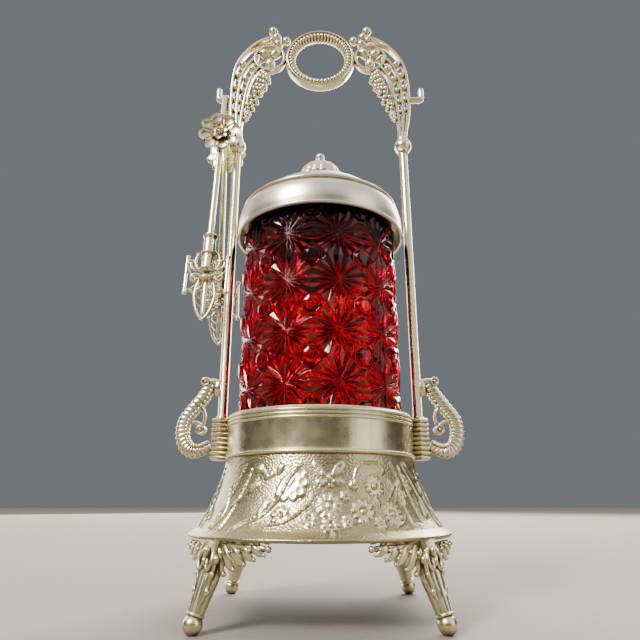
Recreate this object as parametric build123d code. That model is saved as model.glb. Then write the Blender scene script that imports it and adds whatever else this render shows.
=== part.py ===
from build123d import *
import os

# Footed table frame with a bail handle, a pressed-glass jar with a domed lid, and hanging tongs.
# Millimetres. +Z is up, the origin is on the table under the jar's axis, the bail stands in the
# XZ plane, and -Y is the front.

# ---- driving dimensions -------------------------------------------------------------------------
SHEET = 1.0                    # spun and stamped sheet metal
# feet
FOOT_AZIMUTHS = {"front_left": 225, "front_right": 315, "back_left": 135, "back_right": 45}
TOE_CIRCLE_R = 61.0
TOE_R = 3.5
TOE_FLAT = 0.25                # how much of the toe ball is worn flat
LEG_TOP = (51.6, 27.0)         # radius and height of the leg's root
LEG_TOP_SIZE = (10.5, 6.0)
LEG_TOE_SIZE = (5.4, 5.0)
WING_HALF_SPAN = 25.0
WING_THICKNESS = 2.6
# base
SKIRT_PROFILE = [(55.0, 29.3), (52.6, 32.0), (49.2, 37.0), (45.9, 44.2), (43.3, 52.2), (41.5, 60.0)]
SKIRT_WALL = 1.4               # measured level, so the sloping sheet is a little thinner
BASE_TOP_Z = SKIRT_PROFILE[-1][1]
SEAT_LEDGE_R = 38.0
BAND_R = 41.0
BAND_BORE_R = 39.8
BAND_TOP_Z = 78.3
SOCKET_SEAT_R = BAND_R - 0.15
HEM_R = 0.8                    # radius of the rolled edge round the skirt's foot
REED_R = 0.65
REED_HEIGHTS = (73.9, 75.4, 76.9)
BEAD_R = 0.85
# jar
JAR_R = 38.0
JAR_PLAIN_R = 36.4
JAR_BORE_R = 33.0
JAR_BOTTOM_Z = BASE_TOP_Z + SHEET
JAR_FLOOR = 7.0
PATTERN_Z = (76.9, 166.3)      # the faceted part of the wall
JAR_TOP_Z = 174.0
# lid
LID_BOTTOM_Z = 166.6
LID_DOME = [(40.9, 166.6), (41.2, 172.5), (40.0, 178.5), (37.6, 183.2), (33.4, 188.6), (27.2, 193.4),
            (20.0, 197.4), (11.0, 200.4)]
LID_RIM_R = 0.7
LID_TOP_Z = 200.9
LID_TOP_R = 8.0
COLLAR_BORE_R = 31.2
SCREW_R = 1.5
CAP_PROFILE = [(10.2, 200.9), (11.0, 203.5), (11.1, 206.2), (9.9, 210.2), (6.6, 213.0), (2.6, 214.0)]
KNOB_R = 2.6
KNOB_Z = 216.9
# bail
ROD_X = 44.6
ROD_R = 2.1
ROD_TOP_Z = 222.0
SOCKET_FLATS = 7.4             # across the flats of the hexagonal socket
SOCKET_Z = (60.0, 78.4)
SOCKET_RIBS = 9
SOCKET_RIB = 0.35               # how far a rib stands out
NUT_RECESS_R = 2.9
NUT_FLATS = 4.6
NUT_HEIGHT = 2.2
TENON_R = 1.5
COLLAR_BALL_R = 5.0
COLLAR_BALL_Z = 224.0
STEM_TENON_R = 1.6
RING_Z = 282.0
RING_R = 19.6
RING_BORE_R = 14.0
RING_DEPTH = 6.6
CREST_DEPTH = 4.4
RIB_WIDTH = 1.8
LOOP_CENTRE = (28.6, 282.8)
LOOP_R = 8.4
# hooks
HOOK_Z = 254.5
HOOK_R = 1.4
HOOK_X = (49.6, 56.2)          # from the crest's outer rib to the turned-up tip
HOOK_TIP_Z = 262.5
# side scrolls
SCROLL_DEPTH = 4.2
SCROLL_WIDTH = 5.6
# tongs
TONGS_X = -52.4
BOW_R = 2.2                    # inside the bend of the spring strip
STRIP = (3.6, 1.0)             # width and thickness
BOW_Z = HOOK_Z + HOOK_R + 0.2 - BOW_R
SPREAD = 7.5                   # how far each arm leans out at rest, in degrees
BOW_HALF_ARC = 76              # how far the bow bends each side of its top; the arms begin at 90 - SPREAD
STRIP_LENGTH = 34.0
WIRE_R = 1.4
FERRULE_R = 2.1
FERRULE_Z = (88.0, 112.0)      # distances down an arm from the bow's centre
FERRULE_SOCKET = 6.0
FLOWER_DROP = 28.5
FLOWER_R = 11.0
FLOWER_CUP = 4.0
FLOWER_STANDOFF = 2.6          # from the strip to where the petals begin
RIVET_R = 0.8
CLAW_DEPTH = 1.6
BOWL_LENGTH = 24.0
BOWL_WIDTH = 10.7
CLEAR = 0.05                   # between parts that slide into each other and stay put
STAND = (Align.CENTER, Align.CENTER, Align.MIN)


def spun(section):
    """A solid turned about Z from a flat section, whose own X is the radius and whose Y is the height."""
    return revolve(Plane.XZ * section, Axis.Z)


def tube_about_z(profile_points):
    """A solid turned about Z from a closed profile of straight sides."""
    return spun(make_face(Polyline(*profile_points, close=True)))


def turned(outer, closing_points):
    """A solid turned about Z: a smooth curve through outer, closed by straight sides."""
    curve = Spline(*outer)
    sides = Polyline(outer[-1], *closing_points, outer[0])
    return spun(make_face(curve.edges() + sides.edges()))


def shell_section(outer, wall, top_points):
    """A thin shell's flat section: outer curve, the same curve moved in by wall, and the top's points."""
    inner = [(r - wall, z) for r, z in outer[:-1]]
    outer_curve = Spline(*outer)
    inner_curve = Spline(*inner)
    foot = Line(inner[0], outer[0])
    top = Polyline(outer[-1], *top_points, inner[-1])
    return make_face(outer_curve.edges() + inner_curve.edges() + foot.edges() + top.edges())


def plate(points, width, depth):
    """A bent bar in the XZ plane: a smooth line through points, width across and depth along Y."""
    return extrude(Plane.XZ * trace(Spline(*points), line_width=width), depth / 2, both=True)


def disc(x, z, radius, depth):
    """A short round bar along Y in the XZ plane."""
    return extrude(Plane.XZ * Pos(x, z) * Circle(radius), depth / 2, both=True)


def rod_up(x, z, radius, height):
    """A round bar standing at x, from z upwards."""
    return Pos(x, 0, z) * Cylinder(radius, height, align=STAND)


def ball(x, z, radius):
    return Pos(x, 0, z) * Sphere(radius)


def mirrored(shape):
    """The same shape on the other side of the frame."""
    return mirror(shape, Plane.YZ)


# ---- base ---------------------------------------------------------------------------------------
def base_skirt():
    r_top, z_top = SKIRT_PROFILE[-1]
    ledge = [(SEAT_LEDGE_R, z_top), (SEAT_LEDGE_R, z_top - SHEET), (r_top - SKIRT_WALL, z_top - SHEET)]
    hem_r, hem_z = SKIRT_PROFILE[0]
    hem = Pos(hem_r - HEM_R + 0.2, hem_z + HEM_R + 0.1) * Circle(HEM_R)
    return spun(shell_section(SKIRT_PROFILE, SKIRT_WALL, ledge) + hem)


def seat_plate():
    return rod_up(0, BASE_TOP_Z, BAND_BORE_R - CLEAR, SHEET)


def reed_section(z, proud):
    """The cut face of one raised line round the band: a low flat-topped ridge."""
    return make_face(Polyline((BAND_R - 0.3, z - proud), (BAND_R, z - proud), (BAND_R + proud, z - 0.45 * proud),
                              (BAND_R + proud, z + 0.45 * proud), (BAND_R, z + proud),
                              (BAND_R - 0.3, z + proud), close=True))


def holder_band():
    """The jar's band: reed lines along the top, a bead at the foot, and room for the two sockets."""
    wall = BAND_R - BAND_BORE_R
    height = BAND_TOP_Z - BASE_TOP_Z
    section = Pos(BAND_BORE_R + wall / 2, BASE_TOP_Z + height / 2) * Rectangle(wall, height)
    for z in REED_HEIGHTS:
        section += reed_section(z, REED_R)
    section += reed_section(BASE_TOP_Z + BEAD_R + 0.2, BEAD_R)
    room = socket_envelope() - Cylinder(SOCKET_SEAT_R, 400)
    return spun(section) - room - mirrored(room)


def foot():
    """One cast foot, standing out along +X: toe ball, tapering leg and the two wings under the rim."""
    toe_z = TOE_R - TOE_FLAT
    toe = Pos(TOE_CIRCLE_R, 0, toe_z) * Sphere(TOE_R) - Pos(TOE_CIRCLE_R, 0, -5) * Box(20, 20, 10)
    top = Plane((LEG_TOP[0], 0, LEG_TOP[1]))
    low = Plane((TOE_CIRCLE_R - 0.6, 0, toe_z + 1.0))
    leg = loft([top * RectangleRounded(LEG_TOP_SIZE[1], LEG_TOP_SIZE[0], 1.5),
                low * RectangleRounded(LEG_TOE_SIZE[1], LEG_TOE_SIZE[0], 1.5)])
    rim_r, rim_z = SKIRT_PROFILE[0]
    outline = [(-WING_HALF_SPAN, rim_z), (WING_HALF_SPAN, rim_z), (WING_HALF_SPAN, rim_z - 3.2),
               (14, rim_z - 5.2), (8, rim_z - 7.5), (0, rim_z - 11), (-8, rim_z - 7.5), (-14, rim_z - 5.2),
               (-WING_HALF_SPAN, rim_z - 3.2)]
    slab = extrude(Plane.YZ.offset(20) * make_face(Polyline(*outline, close=True)), 40)
    ring = rod_up(0, rim_z - 12, rim_r, 12) - rod_up(0, rim_z - 12, rim_r - WING_THICKNESS, 12)
    return toe + leg + (slab & ring)


# ---- jar and lid --------------------------------------------------------------------------------
def glass_jar():
    low, high = PATTERN_Z
    return tube_about_z([
        (0, JAR_BOTTOM_Z), (JAR_PLAIN_R - 3, JAR_BOTTOM_Z), (JAR_PLAIN_R, JAR_BOTTOM_Z + 3),
        (JAR_PLAIN_R, low - 1.6), (JAR_R, low), (JAR_R, high), (JAR_PLAIN_R, high + 1.6),
        (JAR_PLAIN_R, JAR_TOP_Z - 0.8), (JAR_PLAIN_R - 0.8, JAR_TOP_Z), (JAR_BORE_R + 0.8, JAR_TOP_Z),
        (JAR_BORE_R, JAR_TOP_Z - 0.8), (JAR_BORE_R, JAR_BOTTOM_Z + JAR_FLOOR + 3),
        (JAR_BORE_R - 3, JAR_BOTTOM_Z + JAR_FLOOR), (0, JAR_BOTTOM_Z + JAR_FLOOR)])


def lid_dome():
    crown = [(LID_TOP_R, LID_TOP_Z), (SCREW_R + CLEAR, LID_TOP_Z), (SCREW_R + CLEAR, LID_TOP_Z - SHEET),
             (LID_TOP_R, LID_TOP_Z - SHEET)]
    rim = Pos(LID_DOME[0][0] - 0.2, LID_BOTTOM_Z + LID_RIM_R - 0.1) * Circle(LID_RIM_R)
    return spun(shell_section(LID_DOME, SHEET, crown) + rim)


def lid_collar():
    seat = JAR_TOP_Z + CLEAR
    flange_r = LID_DOME[1][0] - SHEET / 2
    collar = tube_about_z([
        (COLLAR_BORE_R, seat - 8), (COLLAR_BORE_R + SHEET, seat - 8), (COLLAR_BORE_R + SHEET, seat),
        (flange_r, seat), (flange_r, seat + 0.8), (COLLAR_BORE_R, seat + 0.8)])
    return collar - lid_dome()


def finial_cap():
    bore = SCREW_R + CLEAR
    return turned(CAP_PROFILE, [(bore, CAP_PROFILE[-1][1]), (bore, CAP_PROFILE[0][1])])


def finial_knob():
    stem_foot = LID_TOP_Z - SHEET - 3.6
    cap_top = CAP_PROFILE[-1][1]
    stem = rod_up(0, stem_foot, SCREW_R, cap_top - stem_foot)
    return stem + rod_up(0, cap_top, KNOB_R - 0.5, 0.8) + ball(0, KNOB_Z, KNOB_R)


def finial_nut():
    nut = RegularPolygon(3.2, 6) - Circle(SCREW_R + CLEAR)
    return Pos(0, 0, LID_TOP_Z - SHEET - 2.6) * extrude(nut, 2.6)


# ---- bail (each piece is made for the right-hand side, +X) ----------------------------------------
def socket_envelope():
    """The room that a socket takes up outside the band, ribs included."""
    low, high = SOCKET_Z
    hexagon = RegularPolygon(SOCKET_FLATS / 2 + SOCKET_RIB, 6, major_radius=False, rotation=30)
    return Pos(ROD_X, 0, low - 1) * extrude(hexagon, high - low + 2)


def rod_socket():
    low, high = SOCKET_Z
    hexagon = RegularPolygon(SOCKET_FLATS / 2, 6, major_radius=False, rotation=30)
    rib = RegularPolygon(SOCKET_FLATS / 2 + SOCKET_RIB, 6, major_radius=False, rotation=30)
    body = extrude(hexagon, high - low)
    pitch = (high - low) / SOCKET_RIBS
    for i in range(SOCKET_RIBS):
        body += Pos(0, 0, (i + 0.5) * pitch - 0.55) * extrude(rib, 1.1)
    body -= Pos(0, 0, 5) * extrude(Circle(ROD_R + CLEAR), high)
    body -= extrude(Circle(TENON_R + CLEAR), high)
    body -= extrude(Circle(NUT_RECESS_R), 3.0)
    return Pos(ROD_X, 0, low) * body - Cylinder(SOCKET_SEAT_R, 400)


def bail_rod():
    shoulder = SOCKET_Z[0] + 5
    tenon_foot = SOCKET_Z[0] + 0.4
    return rod_up(ROD_X, shoulder, ROD_R, ROD_TOP_Z - shoulder) + rod_up(ROD_X, tenon_foot, TENON_R, 4.6)


def rod_nut():
    nut = RegularPolygon(NUT_FLATS / 2, 6, major_radius=False) - Circle(TENON_R + CLEAR)
    return Pos(ROD_X, 0, SOCKET_Z[0] + 3.0 - NUT_HEIGHT) * extrude(nut, NUT_HEIGHT)


def collar_ball():
    sphere = ball(ROD_X, COLLAR_BALL_Z, COLLAR_BALL_R)
    rod_hole = Pos(ROD_X, 0, ROD_TOP_Z - 5) * Cylinder(ROD_R + CLEAR, 10)
    stem_hole = Pos(ROD_X, 0, COLLAR_BALL_Z + 2 + 5) * Cylinder(STEM_TENON_R + CLEAR, 10)
    return sphere - rod_hole - stem_hole


def bail_crest():
    """The openwork horn of plenty between a rod and the ring."""
    stem_z = COLLAR_BALL_Z + COLLAR_BALL_R
    outer_rib = [(28.6, 297.3), (33.4, 295.2), (38.8, 290.9), (44.0, 284.2), (47.3, 277.0), (48.8, 266.7),
                 (49.0, 254.3), (48.5, 243.0), (46.6, 234.0), (45.4, stem_z)]
    middle_rib = [(34.2, 281.8), (39.5, 277.0), (43.0, 270.0), (44.9, 260.0), (45.6, 248.0), (ROD_X, stem_z)]
    inner_rib = [(34.6, 275.3), (37.5, 268.2), (39.8, 261.2), (41.6, 252.0), (43.2, 240.0), (43.8, stem_z)]
    fruit_edge = [(26.8, 272.0), (26.9, 268.5), (30.7, 261.6), (34.2, 254.3), (37.4, 246.5), (40.6, 241.6),
                  (43.0, 240.0), (41.6, 252.0), (39.8, 261.2), (37.5, 268.2), (34.6, 275.3)]
    crest = plate(outer_rib, RIB_WIDTH, CREST_DEPTH)
    crest += plate(middle_rib, RIB_WIDTH, 3.0) + plate(inner_rib, RIB_WIDTH, 3.0)
    loop_out, loop_in = LOOP_R + RIB_WIDTH / 2, LOOP_R - RIB_WIDTH / 2
    crest += disc(*LOOP_CENTRE, loop_out, CREST_DEPTH) - disc(*LOOP_CENTRE, loop_in, 9)
    crest += extrude(Plane.XZ * make_face(Polyline(*fruit_edge, close=True)), 1.9, both=True)
    for x, z, radius in ((27.2, 303.0, 2.6), (24.9, 298.6, 2.6), (24.0, 293.6, 2.7), (17.9, 295.1, 2.7)):
        crest += ball(x, z, radius)
    crest += plate([(25.2, 293.2), (21.4, 293.8), (17.9, 295.1)], 1.8, 3.0)
    crest += plate([(28.6, 297.3), (26.5, 298.2), (24.9, 298.6)], 2.0, 3.0)
    crest += plate([(26.4, 297.2), (26.2, 300.2), (27.2, 303.0)], 1.6, 3.0)
    for x, z in ((46.2, 272.0), (47.0, 264.5), (47.4, 257.0), (42.4, 266.5), (43.4, 258.5)):
        crest += disc(x, z, 2.2, 2.6)
    leaf = plate([(36.6, 280.6), (31.0, 281.6), (24.6, 286.6)], 2.2, 2.6)
    crest += leaf + Pos(ROD_X, 0, stem_z) * Cylinder(2.6, 3)
    crest -= disc(0, RING_Z, RING_R, 20) + ball(ROD_X, COLLAR_BALL_Z, COLLAR_BALL_R)
    return crest + Pos(ROD_X, 0, stem_z - 1.5) * Cylinder(STEM_TENON_R, 3.0)


def handle_ring():
    half = RING_DEPTH / 2
    lip = 1.6
    lower = [(RING_BORE_R, lip - half), (RING_BORE_R + 1, -half), (RING_R - lip, -half), (RING_R, lip - half)]
    upper = [(r, -y) for r, y in reversed(lower)]
    ring = revolve(make_face(Polyline(*lower, *upper, close=True)), Axis.Y)
    return Pos(0, 0, RING_Z) * ring


def tongs_hook():
    start, tip = HOOK_X
    bar = Pos(start, 0, HOOK_Z) * Rot(0, 90, 0) * Cylinder(HOOK_R, tip - start, align=STAND)
    upright = rod_up(tip, HOOK_Z, HOOK_R, HOOK_TIP_Z - HOOK_Z)
    return bar + upright + ball(tip, HOOK_Z, HOOK_R) - bail_crest()


def side_scroll():
    """The S-scroll that braces a rod against its socket."""
    stem = [(50.6, 95.2), (53.2, 90.0), (57.4, 83.6), (61.4, 78.6), (62.8, 74.2), (61.6, 68.4), (58.0, 64.8),
            (53.4, 64.8), (49.4, 66.2)]
    curl = [(60.6, 77.0), (57.6, 76.0), (55.0, 74.6)]
    neck = [(54.0, 84.0), (52.4, 79.5), (53.2, 74.4)]
    scroll = plate(stem, SCROLL_WIDTH, SCROLL_DEPTH) + plate(curl, 1.6, 3.0) + plate(neck, 1.6, 3.0)
    scroll += disc(54.2, 73.6, 2.3, SCROLL_DEPTH) + disc(53.4, 95.4, 2.3, SCROLL_DEPTH)
    scroll += Pos(49.0, 0, 93.0) * Box(5.0, SCROLL_DEPTH, 6.0)
    room = Pos(ROD_X, 0, 90) * Cylinder(ROD_R + CLEAR, 30)
    socket_room = Pos(ROD_X, 0, 69) * Box(SOCKET_FLATS + 0.8, 12, 19.4)
    return scroll - room - socket_room


# ---- tongs --------------------------------------------------------------------------------------
# An arm is made hanging straight down at the origin's front side, then leaned out by SPREAD about the
# bow's centre. The back arm is the front one mirrored.
def hang(shape):
    """Moves a piece from the bow's own frame to its place on the hook."""
    return Pos(TONGS_X, 0, BOW_Z) * shape


def on_arm(shape):
    """Leans a piece of the front arm out, and hangs it."""
    return hang(Rot(-SPREAD, 0, 0) * shape)


def tongs_bow():
    """The bend of the spring strip, over the hook."""
    width, thickness = STRIP
    middle = CenterArc((0, 0), BOW_R + thickness / 2, 90 - BOW_HALF_ARC, 2 * BOW_HALF_ARC)
    return hang(extrude(Plane.YZ * trace(middle, line_width=thickness), width / 2, both=True))


def arm_y():
    """How far the strip's middle is in front of the bow's centre."""
    return -(BOW_R + STRIP[1] / 2)


def tongs_arm():
    width, thickness = STRIP
    strip = Pos(0, arm_y(), -STRIP_LENGTH / 2) * Box(width, thickness, STRIP_LENGTH)
    wire_end = FERRULE_Z[0] + FERRULE_SOCKET
    wire = Pos(0, arm_y(), 0) * rod_up(0, -wire_end, WIRE_R, wire_end - STRIP_LENGTH)
    return on_arm(strip + wire - rivet_hole())


def rivet_hole():
    return Pos(0, arm_y(), -FLOWER_DROP) * Rot(90, 0, 0) * Cylinder(RIVET_R + CLEAR, 8)


def tongs_flower():
    """The cupped rosette on its short neck, its mouth to the front."""
    back = STRIP[1] / 2 + CLEAR
    base = back + FLOWER_STANDOFF
    hole_r = RIVET_R + CLEAR
    profile = [(hole_r, back), (1.7, back), (2.2, base), (FLOWER_R, base + FLOWER_CUP),
               (FLOWER_R, base + FLOWER_CUP + 1.2), (2.6, base + 1.6), (hole_r, base + 1.6)]
    cup = revolve(make_face(Polyline(*profile, close=True)), Axis.Y)
    return on_arm(Pos(0, arm_y(), -FLOWER_DROP) * Rot(180, 0, 0) * cup)


def tongs_rivet():
    length = STRIP[1] + 2 * CLEAR + FLOWER_STANDOFF + 1.6
    back_face = arm_y() + STRIP[1] / 2
    shank = Pos(0, back_face, -FLOWER_DROP) * Rot(90, 0, 0) * Cylinder(RIVET_R, length, align=STAND)
    head = Pos(0, back_face - length, -FLOWER_DROP) * Rot(90, 0, 0) * Cylinder(1.5, 0.7, align=STAND)
    return on_arm(shank + head)


def tongs_ferrule():
    top, bottom = FERRULE_Z
    body = rod_up(0, -bottom, FERRULE_R, bottom - top) + rod_up(0, -top - 1.6, FERRULE_R + 0.5, 1.6)
    hole = rod_up(0, -top - FERRULE_SOCKET, WIRE_R + CLEAR, FERRULE_SOCKET)
    return on_arm(Pos(0, arm_y(), 0) * (body - hole))


def tongs_claw():
    """The openwork fan that the ferrule passes through the middle of."""
    top = -FERRULE_Z[0]
    half = (plate([(1.5, top - 14.5), (5.4, top - 9.0), (3.8, top - 3.6), (1.8, top - 5.0)], 1.2, CLAW_DEPTH)
            + plate([(1.5, top - 18.5), (5, top - 17.6), (8.6, top - 14), (9.4, top - 9)], 1.1, CLAW_DEPTH)
            + plate([(9.3, top - 6.5), (9.6, top - 16.0), (9.2, top - 25.0)], 1.5, CLAW_DEPTH)
            + plate([(1.5, top - 19.5), (5.6, top - 22.5), (9.0, top - 24.5)], 1.3, CLAW_DEPTH))
    hub = Pos(0, 0, top - 13) * Cylinder(FERRULE_R + 0.9, 20)
    fan = Pos(0, arm_y(), 0) * (half + mirror(half, Plane.YZ) + hub)
    return on_arm(fan - Pos(0, arm_y(), top - 12) * Cylinder(FERRULE_R + CLEAR, 24 + 2 * CLEAR))


def tongs_bowl():
    """The pierced almond at the arm's end, which grips."""
    top = -FERRULE_Z[1]
    half_width = BOWL_WIDTH / 2 - 0.8
    side = [(0, top - 1.0), (0.8 * half_width, top - 0.28 * BOWL_LENGTH), (half_width, top - 0.5 * BOWL_LENGTH),
            (0.62 * half_width, top - 0.8 * BOWL_LENGTH), (0, top - BOWL_LENGTH + 0.8)]
    right = plate(side, 1.6, CLAW_DEPTH)
    tine = plate([(0, top), (0, top - BOWL_LENGTH / 2), (0, top - BOWL_LENGTH + 1)], 1.5, CLAW_DEPTH)
    return on_arm(Pos(0, arm_y(), 0) * (right + mirror(right, Plane.YZ) + tine))


# ---- the assembly -------------------------------------------------------------------------------
def assemble():
    nodes = {
        "base_skirt": base_skirt(), "seat_plate": seat_plate(), "holder_band": holder_band(),
        "handle_ring": handle_ring(), "glass_jar": glass_jar(), "lid_dome": lid_dome(),
        "lid_collar": lid_collar(), "finial_cap": finial_cap(), "finial_knob": finial_knob(),
        "finial_nut": finial_nut(), "tongs_bow": tongs_bow(),
    }
    one_foot = foot()
    for place, azimuth in FOOT_AZIMUTHS.items():
        nodes[f"foot_{place}"] = Rot(0, 0, azimuth) * one_foot
    for make in (rod_socket, bail_rod, rod_nut, collar_ball, bail_crest, tongs_hook, side_scroll):
        right = make()
        nodes[f"{make.__name__}_right"] = right
        nodes[f"{make.__name__}_left"] = mirrored(right)
    for make in (tongs_arm, tongs_flower, tongs_rivet, tongs_ferrule, tongs_claw, tongs_bowl):
        front = make()
        nodes[f"{make.__name__}_front"] = front
        nodes[f"{make.__name__}_back"] = mirror(front, Plane.XZ)
    return nodes


os.makedirs("parts", exist_ok=True)
for node, shape in assemble().items():
    export_step(shape, f"parts/{node}.step")
    print(node, len(shape.solids()))
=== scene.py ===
"""A silver-plated pickle castor: a footed stand with a ringed bail, a ruby glass jar and its tongs.

Every size is in millimetres until a piece is finished; finish_piece turns it into metres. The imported
model is the fixed frame, X to the viewer's right, Y away and Z up, and its floor is at Z = 0.
"""

import logging
import math
from dataclasses import dataclass
from enum import Enum
from typing import Callable, Sequence

import bmesh
import bpy
import numpy as np
from mathutils import Matrix, Vector


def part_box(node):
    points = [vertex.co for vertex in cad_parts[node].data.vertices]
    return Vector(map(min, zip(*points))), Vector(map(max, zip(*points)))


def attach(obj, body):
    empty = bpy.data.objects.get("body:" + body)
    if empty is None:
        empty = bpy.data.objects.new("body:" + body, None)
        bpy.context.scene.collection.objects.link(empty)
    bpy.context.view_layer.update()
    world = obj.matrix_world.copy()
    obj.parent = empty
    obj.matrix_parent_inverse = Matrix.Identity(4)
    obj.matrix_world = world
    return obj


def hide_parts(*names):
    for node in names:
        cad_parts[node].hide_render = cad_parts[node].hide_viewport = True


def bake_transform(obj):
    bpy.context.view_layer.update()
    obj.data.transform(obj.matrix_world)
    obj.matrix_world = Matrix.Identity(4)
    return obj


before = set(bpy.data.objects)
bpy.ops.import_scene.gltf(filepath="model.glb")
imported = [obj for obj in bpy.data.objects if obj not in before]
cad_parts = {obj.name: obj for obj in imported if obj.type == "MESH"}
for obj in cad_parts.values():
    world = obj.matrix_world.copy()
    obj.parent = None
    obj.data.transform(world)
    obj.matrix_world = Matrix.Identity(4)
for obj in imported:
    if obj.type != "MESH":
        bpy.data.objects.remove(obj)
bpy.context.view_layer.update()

log = logging.getLogger("pickle_castor")

MM = 0.001
TAU = 2 * math.pi
OUTWARD = Vector((0, -1, 0))
MOTIF = "motif"
THINNEST = 0.03  # half a swept bar's size, at least
WELD = 0.0005  # spun points closer than this become one
ROUND_STEPS = 180  # steps round the widest turned pieces
MARK_SCALE = 1400.0  # how fine the tool marks are
PUNCH_SCALE = 1250.0  # how fine the punched ground is

Spot = tuple[float, float]
Colour = tuple[float, float, float]
Taper = Callable[[float], float]
Section = Callable[[float, float], float]


class Grain(Enum):
    """How a metal surface was left by its maker."""

    CAST = "cast"
    BRUSHED = "brushed"
    SPUN = "spun"
    STIPPLED = "stippled"
    DRAWN = "drawn"


class Side(Enum):
    """Which side of the bail a piece stands on; pieces are made for the right and mirrored."""

    RIGHT = 1
    LEFT = -1


# ---- node groups --------------------------------------------------------------------------------
class NodeBench:
    """Adds and wires the nodes of one tree."""

    def __init__(self, tree: bpy.types.NodeTree) -> None:
        """Keeps the tree that the nodes go into."""
        self.tree = tree

    def add(self, kind: str, **settings: object) -> bpy.types.Node:
        """Adds a node.

        Args:
            kind: the node's type.
            settings: attributes to set on it.

        Returns:
            The new node.
        """
        node = self.tree.nodes.new(kind)
        for name, value in settings.items():
            setattr(node, name, value)
        return node

    def join(self, out: bpy.types.NodeSocket, into: bpy.types.NodeSocket) -> None:
        """Wires one socket into another."""
        self.tree.links.new(out, into)

    def math(self, operation: str, first: object, second: object = 0.0) -> bpy.types.NodeSocket:
        """Adds a Math node on sockets or numbers.

        Args:
            operation: the node's operation.
            first: a socket or a number.
            second: a socket or a number.

        Returns:
            The result's socket.
        """
        node = self.add("ShaderNodeMath", operation=operation)
        for place, value in enumerate((first, second)):
            if isinstance(value, bpy.types.NodeSocket):
                self.join(value, node.inputs[place])
            else:
                node.inputs[place].default_value = value
        return node.outputs[0]

    def noise(self, where: bpy.types.NodeSocket, scale: object, detail: float = 3.0) -> bpy.types.NodeSocket:
        """Adds a noise texture and gives its value.

        Args:
            where: the coordinates.
            scale: a socket or a number.
            detail: how many finer layers it has.

        Returns:
            The value's socket.
        """
        node = self.add("ShaderNodeTexNoise")
        node.inputs["Detail"].default_value = detail
        self.join(where, node.inputs["Vector"])
        if isinstance(scale, bpy.types.NodeSocket):
            self.join(scale, node.inputs["Scale"])
        else:
            node.inputs["Scale"].default_value = scale
        return node.outputs[0]

    def remap(self, value: object, low: float, high: float, to_low: float = 0.0,
              to_high: float = 1.0) -> bpy.types.NodeSocket:
        """Maps a value's range onto another, clamped.

        Args:
            value: the socket to map.
            low: where the range starts.
            high: where it ends.
            to_low: what the start becomes.
            to_high: what the end becomes.

        Returns:
            The mapped socket.
        """
        node = self.add("ShaderNodeMapRange")
        self.join(value, node.inputs["Value"])
        for name, number in (("From Min", low), ("From Max", high), ("To Min", to_low), ("To Max", to_high)):
            node.inputs[name].default_value = number
        return node.outputs[0]

    def place(self) -> bpy.types.NodeSocket:
        """Adds the object's own coordinates."""
        return self.add("ShaderNodeTexCoord").outputs["Object"]

    def bump(self, height: bpy.types.NodeSocket, strength: float, depth: float,
             shader: bpy.types.Node) -> None:
        """Gives a shader a bump.

        Args:
            height: the height's socket.
            strength: how strongly it shows.
            depth: how deep it is, in millimetres.
            shader: the shader that it goes to.
        """
        node = self.add("ShaderNodeBump")
        node.inputs["Strength"].default_value = strength
        node.inputs["Distance"].default_value = depth * MM
        self.join(height, node.inputs["Height"])
        self.join(node.outputs["Normal"], shader.inputs["Normal"])

    def blend(self, amount: object, first: object, second: object) -> bpy.types.NodeSocket:
        """Mixes two colours.

        Args:
            amount: how much of the second shows, as a socket.
            first: a socket or a colour.
            second: a socket or a colour.

        Returns:
            The mixed colour's socket.
        """
        node = self.add("ShaderNodeMix", data_type="RGBA")
        self.join(amount, node.inputs["Factor"])
        for name, value in (("A", first), ("B", second)):
            socket = [s for s in node.inputs if s.name == name and s.type == "RGBA"][0]
            if isinstance(value, bpy.types.NodeSocket):
                self.join(value, socket)
            else:
                socket.default_value = (*value, 1.0)
        return [s for s in node.outputs if s.type == "RGBA"][0]


def new_material(label: str) -> tuple[bpy.types.Material, NodeBench, bpy.types.Node]:
    """Starts a material.

    Args:
        label: its name.

    Returns:
        The material, a bench for its nodes and its shader.
    """
    made = bpy.data.materials.new(label)
    made.use_nodes = True
    return made, NodeBench(made.node_tree), made.node_tree.nodes["Principled BSDF"]


def new_group(name: str, inputs: dict[str, object], outputs: dict[str, str]) -> bpy.types.NodeTree:
    """Starts a shader node group with named sockets.

    Args:
        name: the group's name.
        inputs: each input's name and default, a number or a colour.
        outputs: each output's name and socket type.

    Returns:
        The group's tree, with its input and output nodes in it.
    """
    tree = bpy.data.node_groups.new(name, "ShaderNodeTree")
    for label, default in inputs.items():
        kind = "NodeSocketColor" if isinstance(default, tuple) else "NodeSocketFloat"
        socket = tree.interface.new_socket(name=label, in_out="INPUT", socket_type=kind)
        socket.default_value = (*default, 1.0) if isinstance(default, tuple) else default
    for label, kind in outputs.items():
        tree.interface.new_socket(name=label, in_out="OUTPUT", socket_type=kind)
    tree.nodes.new("NodeGroupInput")
    tree.nodes.new("NodeGroupOutput")
    return tree


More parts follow.
